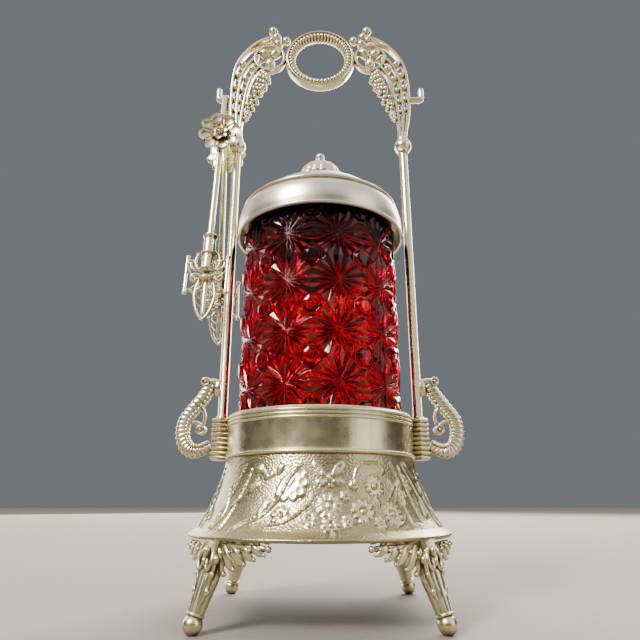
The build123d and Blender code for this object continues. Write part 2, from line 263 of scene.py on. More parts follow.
def aged_plate_group() -> bpy.types.NodeTree:
    """Old plate: clean where hands rub it, dull and warm in its hollows, with faint clouds.

    Returns:
        The group, built once.
    """
    if "aged_plate" in bpy.data.node_groups:
        return bpy.data.node_groups["aged_plate"]
    tree = new_group("aged_plate",
                     {"Clean": (0.8, 0.77, 0.68), "Dull": (0.3, 0.26, 0.17), "Hollow": 0.6, "Cloud": 0.25,
                      "Reach": 0.003, "Smooth": 0.2, "Rough": 0.45},
                     {"Colour": "NodeSocketColor", "Roughness": "NodeSocketFloat",
                      "Height": "NodeSocketFloat"})
    bench = NodeBench(tree)
    given = tree.nodes["Group Input"].outputs
    result = tree.nodes["Group Output"].inputs
    where = bench.place()
    shade = bench.add("ShaderNodeAmbientOcclusion", samples=4)
    bench.join(given["Reach"], shade.inputs["Distance"])
    hollow = bench.remap(shade.outputs["AO"], 0.9, 0.3)
    broken = bench.remap(bench.noise(where, 420.0, 4.0), 0.3, 0.7, 0.45, 1.0)
    in_hollow = bench.math("MULTIPLY", bench.math("MULTIPLY", hollow, given["Hollow"]), broken)
    clouds = bench.remap(bench.noise(where, 55.0, 5.0), 0.42, 0.72)
    in_cloud = bench.math("MULTIPLY", clouds, given["Cloud"])
    dulled = bench.math("MINIMUM", bench.math("ADD", in_hollow, in_cloud), 1.0)
    bench.join(bench.blend(dulled, given["Clean"], given["Dull"]), result["Colour"])
    spread = bench.math("SUBTRACT", given["Rough"], given["Smooth"])
    worn = bench.remap(bench.noise(where, 160.0, 4.0), 0.35, 0.75, 0.0, 0.5)
    share = bench.math("MINIMUM", bench.math("ADD", dulled, worn), 1.0)
    bench.join(bench.math("ADD", given["Smooth"], bench.math("MULTIPLY", spread, share)), result["Roughness"])
    grain = bench.noise(where, 1800.0, 2.0)
    bench.join(bench.math("ADD", grain, bench.math("MULTIPLY", clouds, -0.3)), result["Height"])
    return tree


def tool_mark_group() -> bpy.types.NodeTree:
    """Fine lines: rings where a wheel turned the metal, or upright strokes where it was brushed or drawn.

    Returns:
        The group, built once.
    """
    if "tool_marks" in bpy.data.node_groups:
        return bpy.data.node_groups["tool_marks"]
    tree = new_group("tool_marks", {"Ring Scale": 900.0, "Round Stretch": 0.02, "Upright Stretch": 1.0},
                     {"Height": "NodeSocketFloat", "Streak": "NodeSocketFloat"})
    bench = NodeBench(tree)
    given = tree.nodes["Group Input"].outputs
    result = tree.nodes["Group Output"].inputs
    where = bench.place()
    parts = bench.add("ShaderNodeSeparateXYZ")
    bench.join(where, parts.inputs[0])
    combined = bench.add("ShaderNodeCombineXYZ")
    for axis, stretch in (("X", "Round Stretch"), ("Y", "Round Stretch"), ("Z", "Upright Stretch")):
        bench.join(bench.math("MULTIPLY", parts.outputs[axis], given[stretch]), combined.inputs[axis])
    lines = bench.noise(combined.outputs[0], given["Ring Scale"], 4.0)
    bench.join(lines, result["Height"])
    broad = bench.math("MULTIPLY", given["Ring Scale"], 0.2)
    bench.join(bench.remap(bench.noise(combined.outputs[0], broad, 3.0), 0.35, 0.7), result["Streak"])
    return tree


# ---- finishes -----------------------------------------------------------------------------------
@dataclass(frozen=True)
class PlateFinish:
    """One silver or brass finish, from its colours to the marks left in it."""

    name: str
    grain: Grain
    clean: Colour = (0.81, 0.74, 0.52)
    dull: Colour = (0.16, 0.12, 0.055)
    hollow: float = 0.85
    cloud: float = 0.16
    reach: float = 3.0
    smooth: float = 0.23
    rough: float = 0.48
    grain_depth: float = 0.03
    streak: float = 0.22

    @property
    def slot(self) -> str:
        """The record's material slot, which has the finish's own name."""
        return self.name

    def material(self) -> bpy.types.Material:
        """The finish's material, built once.

        Returns:
            The material.
        """
        label = f"{self.name}_finish"
        if label in bpy.data.materials:
            return bpy.data.materials[label]
        made, bench, shader = new_material(label)
        shader.inputs["Metallic"].default_value = 1.0
        plate = bench.add("ShaderNodeGroup", node_tree=aged_plate_group())
        plate.inputs["Clean"].default_value = (*self.clean, 1.0)
        plate.inputs["Dull"].default_value = (*self.dull, 1.0)
        for name, value in (("Hollow", self.hollow), ("Cloud", self.cloud), ("Reach", self.reach * MM),
                            ("Smooth", self.smooth), ("Rough", self.rough)):
            plate.inputs[name].default_value = value
        bench.join(self.tone(bench, plate), shader.inputs["Base Color"])
        bench.join(plate.outputs["Roughness"], shader.inputs["Roughness"])
        bench.bump(self.height(bench, plate), 0.5, self.grain_depth, shader)
        return made

    def tone(self, bench: NodeBench, plate: bpy.types.Node) -> bpy.types.NodeSocket:
        """The surface's colour: the plate's own, toned along its tool marks or down in its punched ground.

        Args:
            bench: where the nodes are added.
            plate: the aged plate's node.

        Returns:
            The colour's socket.
        """
        if self.grain is Grain.CAST:
            return plate.outputs["Colour"]
        if self.grain is Grain.STIPPLED:
            raised = bench.add("ShaderNodeAttribute", attribute_name=MOTIF).outputs["Fac"]
            sunk = bench.remap(raised, 0.0, 0.7, 0.5, 0.0)
            return bench.blend(sunk, plate.outputs["Colour"], self.dull)
        marks = self.marks(bench)
        return bench.blend(bench.math("MULTIPLY", marks.outputs["Streak"], self.streak),
                           plate.outputs["Colour"], self.dull)

    def marks(self, bench: NodeBench) -> bpy.types.Node:
        """Adds the tool marks, running round a spun piece and up a brushed or drawn one.

        Args:
            bench: where the nodes are added.

        Returns:
            The marks' node.
        """
        marks = bench.add("ShaderNodeGroup", node_tree=tool_mark_group())
        along, across = (1.0, 0.02) if self.grain is Grain.SPUN else (0.03, 1.0)
        marks.inputs["Upright Stretch"].default_value = along
        marks.inputs["Round Stretch"].default_value = across
        marks.inputs["Ring Scale"].default_value = MARK_SCALE
        return marks

    def height(self, bench: NodeBench, plate: bpy.types.Node) -> bpy.types.NodeSocket:
        """The marks in the surface.

        Args:
            bench: where the nodes are added.
            plate: the aged plate's node.

        Returns:
            The height's socket.
        """
        even = plate.outputs["Height"]
        if self.grain is Grain.CAST:
            return even
        if self.grain is Grain.STIPPLED:
            where = bench.place()
            dots = bench.add("ShaderNodeTexVoronoi", feature="SMOOTH_F1")
            dots.inputs["Scale"].default_value = PUNCH_SCALE
            bench.join(where, dots.inputs["Vector"])
            punched = bench.remap(dots.outputs["Distance"], 0.1, 0.55)
            smooth = bench.add("ShaderNodeAttribute", attribute_name=MOTIF).outputs["Fac"]
            ground = bench.math("SUBTRACT", 1.0, smooth)
            return bench.math("ADD", bench.math("MULTIPLY", punched, bench.math("MULTIPLY", ground, 4.0)),
                              even)
        marks = self.marks(bench)
        return bench.math("ADD", bench.math("MULTIPLY", marks.outputs["Height"], 1.6), even)


@dataclass(frozen=True)
class RubyGlass:
    """Pressed glass, ruby right through."""

    name: str = "ruby_pressed_glass"
    slot: str = "ruby_glass"
    colour: Colour = (0.40, 0.0006, 0.012)
    index: float = 1.5
    ripple: float = 0.06

    def material(self) -> bpy.types.Material:
        """The glass's material, built once.

        Returns:
            The material.
        """
        label = f"{self.name}_finish"
        if label in bpy.data.materials:
            return bpy.data.materials[label]
        made, bench, shader = new_material(label)
        shader.inputs["Transmission Weight"].default_value = 1.0
        shader.inputs["IOR"].default_value = self.index
        where = bench.place()
        uneven = bench.remap(bench.noise(where, 35.0, 3.0), 0.3, 0.75)
        deep = tuple(part * 0.72 for part in self.colour)
        bench.join(bench.blend(uneven, self.colour, deep), shader.inputs["Base Color"])
        film = bench.remap(bench.noise(where, 120.0, 4.0), 0.45, 0.8, 0.015, 0.07)
        bench.join(film, shader.inputs["Roughness"])
        bench.bump(bench.noise(where, 700.0, 2.0), 0.35, self.ripple, shader)
        return made


CAST_SILVER = PlateFinish("cast_silver", Grain.CAST)
EMBOSSED_SILVER = PlateFinish("embossed_silver", Grain.STIPPLED, clean=(0.76, 0.695, 0.47),
                              dull=(0.17, 0.135, 0.07), hollow=0.8, cloud=0.14, reach=1.4, smooth=0.26,
                              rough=0.48, grain_depth=0.04)
BRUSHED_SILVER = PlateFinish("brushed_silver", Grain.BRUSHED, clean=(0.77, 0.71, 0.49),
                             dull=(0.24, 0.20, 0.12), hollow=0.8, cloud=0.07, reach=1.4, smooth=0.24,
                             rough=0.42, grain_depth=0.035)
SPUN_SILVER = PlateFinish("spun_silver", Grain.SPUN, clean=(0.82, 0.775, 0.66), dull=(0.30, 0.25, 0.17),
                          hollow=0.8, cloud=0.18, reach=1.6, smooth=0.27, rough=0.46, grain_depth=0.03)
WIRE_SILVER = PlateFinish("wire_silver", Grain.DRAWN, clean=(0.81, 0.745, 0.52), hollow=0.5, smooth=0.18,
                          rough=0.38, grain_depth=0.01)
FASTENER_BRASS = PlateFinish("fastener_brass", Grain.CAST, clean=(0.70, 0.55, 0.28), dull=(0.22, 0.15, 0.06))
RUBY_GLASS = RubyGlass()


# ---- workshop -----------------------------------------------------------------------------------
def span(node: str) -> tuple[Vector, Vector]:
    """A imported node's lowest and highest corners, in millimetres."""
    low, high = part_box(node)
    return Vector(low) / MM, Vector(high) / MM


def smooth_path(points: Sequence[Sequence[float]], per_span: int = 6) -> list[Vector]:
    """A smooth line through some points.

    Args:
        points: flat (x, z) or full (x, y, z) points.
        per_span: how many steps are taken between two of them.

    Returns:
        The line's points.
    """
    spots = [Vector((p[0], 0.0, p[1])) if len(p) == 2 else Vector(p) for p in points]
    padded = [2 * spots[0] - spots[1], *spots, 2 * spots[-1] - spots[-2]]
    path = []
    for i in range(1, len(padded) - 2):
        before, start, end, after = padded[i - 1:i + 3]
        for k in range(per_span):
            t = k / per_span
            straight = (end - before) * t
            bent = (2 * before - 5 * start + 4 * end - after) * t * t
            twisted = (3 * start - before - 3 * end + after) * t ** 3
            path.append(0.5 * (2 * start + straight + bent + twisted))
    path.append(spots[-1])
    return path


def keep(value: float) -> Taper:
    """A size that stays the same all along."""
    return lambda t: value


def eased(start: float, end: float, tip: float = 0.0) -> Taper:
    """A size that runs evenly along a bar, rounded off at both ends.

    Args:
        start: the size at the start.
        end: the size at the end.
        tip: the share of the length over which each end is rounded off.

    Returns:
        The size at each share of the way.
    """
    def size(t: float) -> float:
        """The size at one share of the way."""
        near = min(t, 1 - t)
        edge = math.sqrt(max(1 - (1 - near / tip) ** 2, 0.0)) if tip and near < tip else 1.0
        return (start + (end - start) * t) * edge
    return size


def grown(bm: bmesh.types.BMesh, rim: list[bmesh.types.BMEdge]) -> tuple[set, list]:
    """Extrudes an open rim of edges once.

    Args:
        bm: the mesh it belongs to.
        rim: its edges.

    Returns:
        The new rim's vertices and its edges.
    """
    made = bmesh.ops.extrude_edge_only(bm, edges=rim)["geom"]
    fresh = {part for part in made if isinstance(part, bmesh.types.BMVert)}
    edges = [part for part in made if isinstance(part, bmesh.types.BMEdge)]
    return fresh, [edge for edge in edges if fresh.issuperset(edge.verts)]


def swept(bm: bmesh.types.BMesh, path: Sequence[Vector], width: Taper, depth: Taper, face: Vector = OUTWARD,
          sides: int = 10, square: float = 1.0, relief: Section | None = None) -> None:
    """Draws a closed bar along a path by extruding one ring of edges.

    Args:
        bm: the mesh to add to.
        path: the middle line.
        width: half the bar's size across the path, in the plane the face looks out of.
        depth: half its size along face.
        face: the way the bar's front looks.
        sides: how many sides the ring has.
        square: 1 for a round section, towards 0 for a square one.
        relief: a share to scale the ring by, from the way along and the angle round.
    """
    last = len(path) - 1
    stations = []
    for i, spot in enumerate(path):
        ahead = (path[min(i + 1, last)] - path[max(i - 1, 0)]).normalized()
        across = ahead.cross(face).normalized()
        out = across.cross(ahead).normalized()
        station = Matrix((across, out, ahead)).transposed().to_4x4()
        station.translation = spot
        stations.append(station)
    ring = bmesh.ops.create_circle(bm, cap_ends=False, segments=sides, radius=1.0)["verts"]
    edges = list({edge for vert in ring for edge in vert.link_edges})
    angle_of = {vert: math.atan2(vert.co.y, vert.co.x) for vert in ring}
    ends = []
    for i, station in enumerate(stations):
        if i:
            fresh, edges = grown(bm, edges)
            angle_of = {vert: next(angle_of[edge.other_vert(vert)] for edge in vert.link_edges
                                   if edge.other_vert(vert) in angle_of) for vert in fresh}
        t = i / last
        wide = max(width(t), THINNEST)
        high = max(depth(t), THINNEST)
        for vert, angle in angle_of.items():
            lift = relief(t, angle) if relief else 1.0
            flat_x = math.copysign(abs(math.cos(angle)) ** square, math.cos(angle))
            flat_y = math.copysign(abs(math.sin(angle)) ** square, math.sin(angle))
            vert.co = station @ Vector((wide * lift * flat_x, high * lift * flat_y, 0.0))
        if i in (0, last):
            ends.append(edges)
    for loop in ends:
        bmesh.ops.edgeloop_fill(bm, edges=loop)


def bead(bm: bmesh.types.BMesh, spot: Sequence[float], radius: float, stretch: Sequence[float] = (1, 1, 1),
         turn: Matrix | None = None, fine: bool = False) -> None:
    """Adds one cast bead.

    Args:
        bm: the mesh to add to.
        spot: its middle.
        radius: its size before it is stretched.
        stretch: how much longer it is along its own axes.
        turn: how those axes are turned.
        fine: whether it is large enough to be seen close.
    """
    around, up = (20, 12) if fine else (10, 6)
    sizes = Matrix.Diagonal((*(radius * part for part in stretch), 1.0))
    place = Matrix.Translation(Vector(spot)) @ (turn or Matrix()) @ sizes
    bmesh.ops.create_uvsphere(bm, u_segments=around, v_segments=up, radius=1.0, matrix=place)


def turned(bm: bmesh.types.BMesh, profile: Sequence[Spot], steps: int = 96, closed: bool = False,
           place: Matrix | None = None) -> None:
    """Spins a profile about its own upright axis.

    Args:
        bm: the mesh to add to.
        profile: (radius, height) points.
        steps: how many steps go round.
        closed: whether the profile ends where it starts, as a ring's does.
        place: where the spun shape goes.
    """
    verts = [bm.verts.new((radius, 0.0, height)) for radius, height in profile]
    pairs = list(zip(verts, verts[1:]))
    if closed:
        pairs.append((verts[-1], verts[0]))
    edges = [bm.edges.new(pair) for pair in pairs]
    before = set(bm.verts) - set(verts)
    bmesh.ops.spin(bm, geom=verts + edges, cent=(0, 0, 0), axis=(0, 0, 1), angle=TAU, steps=steps,
                   use_merge=True, use_duplicate=False)
    spun = [vert for vert in bm.verts if vert not in before]
    bmesh.ops.remove_doubles(bm, verts=spun, dist=WELD)
    if place:
        spun = [vert for vert in bm.verts if vert not in before]
        bmesh.ops.transform(bm, matrix=place, verts=spun)


def rounded(points: Sequence[Spot], per_span: int = 5) -> list[Spot]:
    """A smooth (radius, height) profile through some points."""
    return [(spot.x, spot.z) for spot in smooth_path(points, per_span)]


def roll(radius: float, height: float, size: float, start: float, end: float, steps: int = 8) -> list[Spot]:
    """An arc of a rolled edge's profile.

    Args:
        radius: the roll's middle radius.
        height: its middle height.
        size: its own radius.
        start: the first angle in degrees, 0 outwards and 90 upwards.
        end: the last angle.
        steps: how many spans it has.

    Returns:
        The arc's points.
    """
    turns = [math.radians(start + (end - start) * i / steps) for i in range(steps + 1)]
    return [(radius + size * math.cos(turn), height + size * math.sin(turn)) for turn in turns]


def mirrored(bm: bmesh.types.BMesh, across: Sequence[float] = (-1, 1, 1)) -> bmesh.types.BMesh:
    """A mirrored copy of a mesh, its faces still looking out.

    Args:
        bm: the mesh.
        across: what each coordinate is multiplied by.

    Returns:
        The copy.
    """
    copy = bm.copy()
    bmesh.ops.scale(copy, vec=across, verts=copy.verts)
    bmesh.ops.reverse_faces(copy, faces=copy.faces)
    return copy


def absorb(bm: bmesh.types.BMesh, other: bmesh.types.BMesh) -> None:
    """Adds another mesh's shapes to a mesh, and uses the other one up.

    Args:
        bm: the mesh to add to.
        other: the mesh that is added.
    """
    spare = bpy.data.meshes.new("spare")
    other.to_mesh(spare)
    other.free()
    bm.from_mesh(spare)
    bpy.data.meshes.remove(spare)


def finish_piece(name: str, bm: bmesh.types.BMesh, finish: PlateFinish | RubyGlass, body: str,
                 nodes: Sequence[str] = (), crease: float = 40.0) -> bpy.types.Object:
    """Turns a mesh into a finished piece of the object.

    Args:
        name: the piece's name.
        bm: its mesh in millimetres, which is used up.
        finish: what its surface is.
        body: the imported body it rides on.
        nodes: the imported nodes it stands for.
        crease: edges sharper than this many degrees stay crisp.

    Returns:
        The piece.
    """
    bmesh.ops.scale(bm, vec=(MM, MM, MM), verts=bm.verts)
    mesh = bpy.data.meshes.new(name)
    bm.to_mesh(mesh)
    bm.free()
    mesh.shade_smooth()
    mesh.set_sharp_from_angle(angle=math.radians(crease))
    mesh.materials.append(finish.material())
    piece = bpy.data.objects.new(name, mesh)
    bpy.context.collection.objects.link(piece)
    if body:
        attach(piece, body)
    if nodes:
        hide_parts(*nodes)
    log.info("%s: %d faces on %s", name, len(mesh.polygons), body or "a joint")
    return piece


def closed_mesh(bm: bmesh.types.BMesh) -> bmesh.types.BMesh:
    """Gives a mesh of closed shapes faces that look out."""
    bmesh.ops.recalc_face_normals(bm, faces=bm.faces)
    return bm


# ---- glass jar ----------------------------------------------------------------------------------
@dataclass
class GlassJar:
    """The daisy-and-button jar: sixteen-ray stars in octagons, with an octagonal button at every corner."""

    columns: int = 10
    rows: int = 4
    neck_in: float = 1.6
    pattern_up: float = 15.9
    pattern_down: float = 7.7
    first_column: float = 12.7
    ray_count: int = 32
    root_radius: float = 35.75
    centre_high: float = 0.7
    ridge_high: float = 1.3
    groove_high: float = 0.0
    tip_high: float = 1.15
    corner_high: float = 1.4
    gap_high: float = 0.35
    ray_share: float = 0.56
    groove_share: float = 0.86
    button_points: int = 16
    bore_radius: float = 33.0
    floor: float = 7.0
    lip: float = 0.8
    shoulder: float = 1.5
    button_steps: tuple[tuple[float, float], ...] = ((5.2, 0.1), (4.4, 0.15), (3.6, 1.85), (2.3, 2.2))
    seam: float = 0.03
    rolled_seam: float = 0.05
    crease: float = 11.0
    bevel: float = 0.14
    bevel_from: float = 14.0

    def __post_init__(self) -> None:
        """Takes the jar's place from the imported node."""
        low, high = span("glass_jar")
        self.outer_radius = high.x
        self.foot_z = low.z
        self.top_z = high.z
        self.neck_radius = self.outer_radius - self.neck_in
        self.pattern_low = low.z + self.pattern_up
        self.pattern_high = high.z - self.pattern_down
        self.half_w = math.pi * self.outer_radius / self.columns
        self.half_h = (self.pattern_high - self.pattern_low) / self.rows / 2

    def edge_spot(self, turn: float) -> Vector:
        """Where the octagon's edge lies at an angle, from the star's middle."""
        eighth = TAU / 8
        off = (turn + eighth / 2) % eighth - eighth / 2
        reach = 1 / math.cos(off)
        return Vector((self.half_w * reach * math.cos(turn), self.half_h * reach * math.sin(turn), 0.0))

    def edge_high(self, place: int) -> float:
        """How proud the octagon's edge stands at one of its thirty-two points."""
        if place % 4 == 0:
            return self.tip_high
        return self.corner_high if place % 4 == 2 else self.gap_high

    def star(self, bm: bmesh.types.BMesh) -> None:
        """Adds one star in its octagon, round the origin, flat side up.

        Args:
            bm: the mesh to add to.
        """
        step = TAU / self.ray_count
        made = bmesh.ops.create_circle(bm, cap_ends=True, cap_tris=True, segments=self.ray_count, radius=1.0)
        fan = made["verts"]
        rim = {vert for vert in fan if vert.co.length > 0.5}
        centre = next(vert for vert in fan if vert not in rim)
        centre.co.z = self.centre_high
        rim_edges = list({edge for vert in rim for edge in vert.link_edges if rim.issuperset(edge.verts)})
        place_of = {vert: round(math.atan2(vert.co.y, vert.co.x) / step) % self.ray_count for vert in rim}
        outer, _ = grown(bm, rim_edges)
        for vert in outer:
            place = round(math.atan2(vert.co.y, vert.co.x) / step) % self.ray_count
            place_of[vert] = place
            vert.co = self.edge_spot(place * step)
            vert.co.z = self.edge_high(place)
        for vert in rim:
            place = place_of[vert]
            share = self.ray_share if place % 2 == 0 else self.ray_share * self.groove_share
            vert.co.x = self.half_w * share * math.cos(place * step)
            vert.co.y = self.half_h * share * math.sin(place * step)
            vert.co.z = self.ridge_high if place % 2 == 0 else self.groove_high
        split = [vert for vert in rim if place_of[vert] % 2]
        split += [vert for vert in outer if place_of[vert] % 2 == 0]
        bmesh.ops.connect_verts(bm, verts=split)

    def button_edge(self, place: int) -> tuple[Vector, float]:
        """One of the sixteen points round a button's diamond.

        Args:
            place: which point it is.

        Returns:
            The point and its height.
        """
        quarter, along = divmod(place, 4)
        step = TAU / self.ray_count
        share = along if quarter in (0, 2) else 4 - along
        spot = self.edge_spot(math.radians(247.5) - share * step) + Vector((self.half_w, self.half_h, 0.0))
        if quarter in (1, 2):
            spot.x = -spot.x
        if quarter in (2, 3):
            spot.y = -spot.y
        return spot, self.edge_high(2 + along)

    def button(self, bm: bmesh.types.BMesh) -> None:
        """Adds one octagonal button in its diamond, round the origin.

        Args:
            bm: the mesh to add to.
        """
        points = self.button_points
        step = TAU / points
        disc = bmesh.ops.create_circle(bm, cap_ends=True, segments=points, radius=1.0)["verts"]
        face = disc[0].link_faces[0]
        around = [round(math.atan2(vert.co.y, vert.co.x) / step) % points for vert in face.verts]
        for vert, place in zip(face.verts, around):
            spot, high = self.button_edge(place)
            vert.co = (spot.x, spot.y, high)
        spots = {place: vert.co.copy() for vert, place in zip(face.verts, around)}
        for radius, high in self.button_steps:
            bmesh.ops.inset_individual(bm, faces=[face], thickness=0.02)
            for vert in face.verts:
                near = min(spots, key=lambda place: (spots[place].xy - vert.co.xy).length)
                turn = near * TAU / points
                off = (turn + step) % (2 * step) - step
                reach = radius * math.cos(step) / math.cos(off)
                vert.co = (reach * math.cos(turn), reach * math.sin(turn), high)
            spots = {round(math.atan2(v.co.y, v.co.x) / step) % points: v.co.copy() for v in face.verts}

    def extend(self, bm: bmesh.types.BMesh, edges: list[bmesh.types.BMEdge], radius: float,
               height: float) -> list[bmesh.types.BMEdge]:
        """Runs an open rim on to another radius and height.

        Args:
            bm: the jar's mesh.
            edges: the rim.
            radius: where it goes.
            height: how high it goes.

        Returns:
            The new rim.
        """
        fresh, rim = grown(bm, edges)
        for vert in fresh:
            reach = vert.co.xy.normalized() * radius
            vert.co = (reach.x, reach.y, height)
        return rim

    def pattern(self) -> bmesh.types.BMesh:
        """Lays the pattern out flat, cell by cell, and trims it to the jar's height.

        Returns:
            The sheet, with X round the jar, Y up it and Z out of it.
        """
        bm = bmesh.new()
        self.star(bm)
        spare = bmesh.new()
        self.button(spare)
        bmesh.ops.translate(spare, vec=(self.half_w, self.half_h, 0.0), verts=spare.verts)
        absorb(bm, spare)
        cell = list(bm.verts) + list(bm.edges) + list(bm.faces)
        for column in range(self.columns):
            for row in range(-1, self.rows):
                copy = bmesh.ops.duplicate(bm, geom=cell)["geom"]
                verts = [part for part in copy if isinstance(part, bmesh.types.BMVert)]
                shift = (2 * self.half_w * column, 2 * self.half_h * (row + 0.5) + self.pattern_low, 0.0)
                bmesh.ops.translate(bm, vec=shift, verts=verts)
        model = [part for part in cell if isinstance(part, bmesh.types.BMVert)]
        bmesh.ops.delete(bm, geom=model, context="VERTS")
        bmesh.ops.remove_doubles(bm, verts=bm.verts, dist=self.seam)
        for height, upward in ((self.pattern_low, False), (self.pattern_high, True)):
            bmesh.ops.bisect_plane(bm, geom=list(bm.verts) + list(bm.edges) + list(bm.faces), dist=0.001,
                                   plane_co=(0, height, 0), plane_no=(0, 1, 0), clear_outer=upward,
                                   clear_inner=not upward)
        return bm

    def roll_up(self, bm: bmesh.types.BMesh) -> None:
        """Rolls the flat sheet up round the jar and joins its ends.

        Args:
            bm: the sheet.
        """
        first = math.radians(self.first_column - 90)
        for vert in bm.verts:
            turn = first + vert.co.x / self.outer_radius
            reach = self.root_radius + vert.co.z
            vert.co = (reach * math.cos(turn), reach * math.sin(turn), vert.co.y)
        bmesh.ops.remove_doubles(bm, verts=bm.verts, dist=self.rolled_seam)

    def close(self, bm: bmesh.types.BMesh) -> None:
        """Runs the sheet's rims on into the foot, the neck, the bore and the floor.

        Args:
            bm: the rolled sheet.
        """
        rims = [edge for edge in bm.edges if edge.is_boundary]
        middle = (self.pattern_low + self.pattern_high) / 2
        lower = [edge for edge in rims if edge.verts[0].co.z < middle]
        upper = [edge for edge in rims if edge.verts[0].co.z > middle]
        for radius, height in ((self.neck_radius, self.pattern_low - self.shoulder),
                               (self.neck_radius, self.foot_z + 3.0),
                               (self.neck_radius - 0.9, self.foot_z + 0.9),
                               (self.neck_radius - 3.0, self.foot_z), (6.0, self.foot_z + 0.6)):
            lower = self.extend(bm, lower, radius, height)
        bmesh.ops.edgeloop_fill(bm, edges=lower)
        inner_floor = self.foot_z + self.floor
        for radius, height in ((self.neck_radius, self.pattern_high + self.shoulder),
                               (self.neck_radius, self.top_z - self.lip),
                               (self.neck_radius - self.lip, self.top_z),
                               (self.bore_radius + self.lip, self.top_z),
                               (self.bore_radius, self.top_z - self.lip),
                               (self.bore_radius, inner_floor + 3.0),
                               (self.bore_radius - 0.9, inner_floor + 0.9),
                               (self.bore_radius - 3.0, inner_floor)):
            upper = self.extend(bm, upper, radius, height)
        bmesh.ops.edgeloop_fill(bm, edges=upper)

    def build(self) -> None:
        """Makes the jar."""
        bm = self.pattern()
        self.roll_up(bm)
        self.close(bm)
        piece = finish_piece("jar_daisy_and_button", closed_mesh(bm), RUBY_GLASS, "jar", ("glass_jar",),
                             self.crease)
        soften = piece.modifiers.new("pressed_edges", "BEVEL")
        soften.width = self.bevel * MM
        soften.segments = 2
        soften.limit_method = "ANGLE"
        soften.angle_limit = math.radians(self.bevel_from)


# ---- lid ----------------------------------------------------------------------------------------
@dataclass
class Lid:
    """The spun lid with its step, the lobed cap on top and the small knob."""

    wall: float = 1.0
    crown_radius: float = 10.2
    hole_radius: float = 2.6
    step_below_top: float = 19.4
    cap_spread: float = 1.3
    cap_lobes: int = 14
    knob_radius: float = 2.3

    def __post_init__(self) -> None:
        """Takes the lid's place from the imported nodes."""
        low, high = span("lid_dome")
        self.rim_z = low.z
        self.top_z = high.z
        self.rim_radius = high.x
        cap_low, cap_high = span("finial_cap")
        self.cap_low = cap_low.z
        self.cap_high = cap_high.z
        self.cap_radius = cap_high.x + self.cap_spread
        self.knob_high = span("finial_knob")[1].z

    def dome(self) -> None:
        """Makes the lid's shell, one closed sheet with a rolled rim and a step."""
        rim = self.rim_radius
        z = self.rim_z
        step = self.top_z - self.step_below_top
        side = rounded([(rim - 0.45, z + 1.5), (rim - 0.25, z + 5.0), (rim - 0.75, z + 9.5),
                        (rim - 1.6, z + 12.4), (rim - 2.6, step - 1.3), (rim - 3.2, step - 0.6)])
        ledge = [(rim - 2.75, step - 0.35), (rim - 2.4, step + 0.05), (rim - 2.35, step + 0.5),
                 (rim - 2.7, step + 0.95), (rim - 3.4, step + 1.15), (rim - 4.2, step + 1.1)]
        crown = rounded([(rim - 5.0, step + 1.9), (rim - 8.6, step + 5.6), (rim - 13.6, step + 9.7),
                         (rim - 20.4, step + 13.9), (rim - 26.4, step + 16.9),
                         (self.crown_radius, self.top_z)])
        inside = rounded([(self.crown_radius, self.top_z - self.wall), (18.5, self.top_z - 5.0),
                          (25.6, self.top_z - 9.4), (31.6, self.top_z - 14.2), (35.6, self.top_z - 19.1),
                          (38.6, self.top_z - 25.0), (39.5, self.top_z - 31.0), (rim - 1.5, z + 0.2)])
        edge = roll(rim - 0.75, z + 0.75, 0.75, -150, 75, 10)
        profile = [*edge, *side, *ledge, *crown, (self.hole_radius, self.top_z),
                   (self.hole_radius, self.top_z - self.wall), *inside]
        bm = bmesh.new()
        turned(bm, profile, ROUND_STEPS, closed=True)
        finish_piece("lid_shell", closed_mesh(bm), SPUN_SILVER, "lid", ("lid_dome",), 50)

    def cap(self) -> None:
        """Makes the low lobed cap under the knob."""
        low = self.cap_low
        tall = self.cap_high - low
        wide = self.cap_radius
        profile = rounded([(wide - 0.7, low), (wide, low + 0.12 * tall), (wide - 0.2, low + 0.20 * tall),
                           (wide - 1.3, low + 0.27 * tall), (wide - 1.7, low + 0.42 * tall),
                           (wide - 3.0, low + 0.62 * tall), (wide - 5.2, low + 0.76 * tall),
                           (2.6, low + 0.81 * tall)], 4)
        bm = bmesh.new()
        turned(bm, [(0.0, low), *profile, (0.0, low + 0.82 * tall)], 168)
        for vert in bm.verts:
            turn = math.atan2(vert.co.y, vert.co.x)
            reach = math.hypot(vert.co.x, vert.co.y)
            share = max(0.0, min(1.0, (reach - 3.0) / 5.0))
            dip = 0.05 * share * (1 - abs(math.cos(turn * self.cap_lobes / 2)) ** 0.7)
            vert.co.x *= 1 - dip
            vert.co.y *= 1 - dip
            vert.co.z -= 3.0 * dip * (vert.co.z > low + 0.1)
        finish_piece("finial_lobed_cap", closed_mesh(bm), SPUN_SILVER, "lid", ("finial_cap",))

    def knob(self) -> None:
        """Makes the little knob on its collar."""
        top = self.knob_high
        size = self.knob_radius
        foot = self.cap_high - 1.8
        profile = [(0.0, foot), (2.5, foot), (2.5, foot + 0.5), (1.7, foot + 1.0),
                   *roll(0.0, top - size, size, -55, 90, 12)]
        bm = bmesh.new()
        turned(bm, profile, 40)
        finish_piece("finial_small_knob", closed_mesh(bm), SPUN_SILVER, "lid", ("finial_knob",))

    def build(self) -> None:
        """Makes the lid's pieces."""
        self.dome()
        self.cap()
        self.knob()


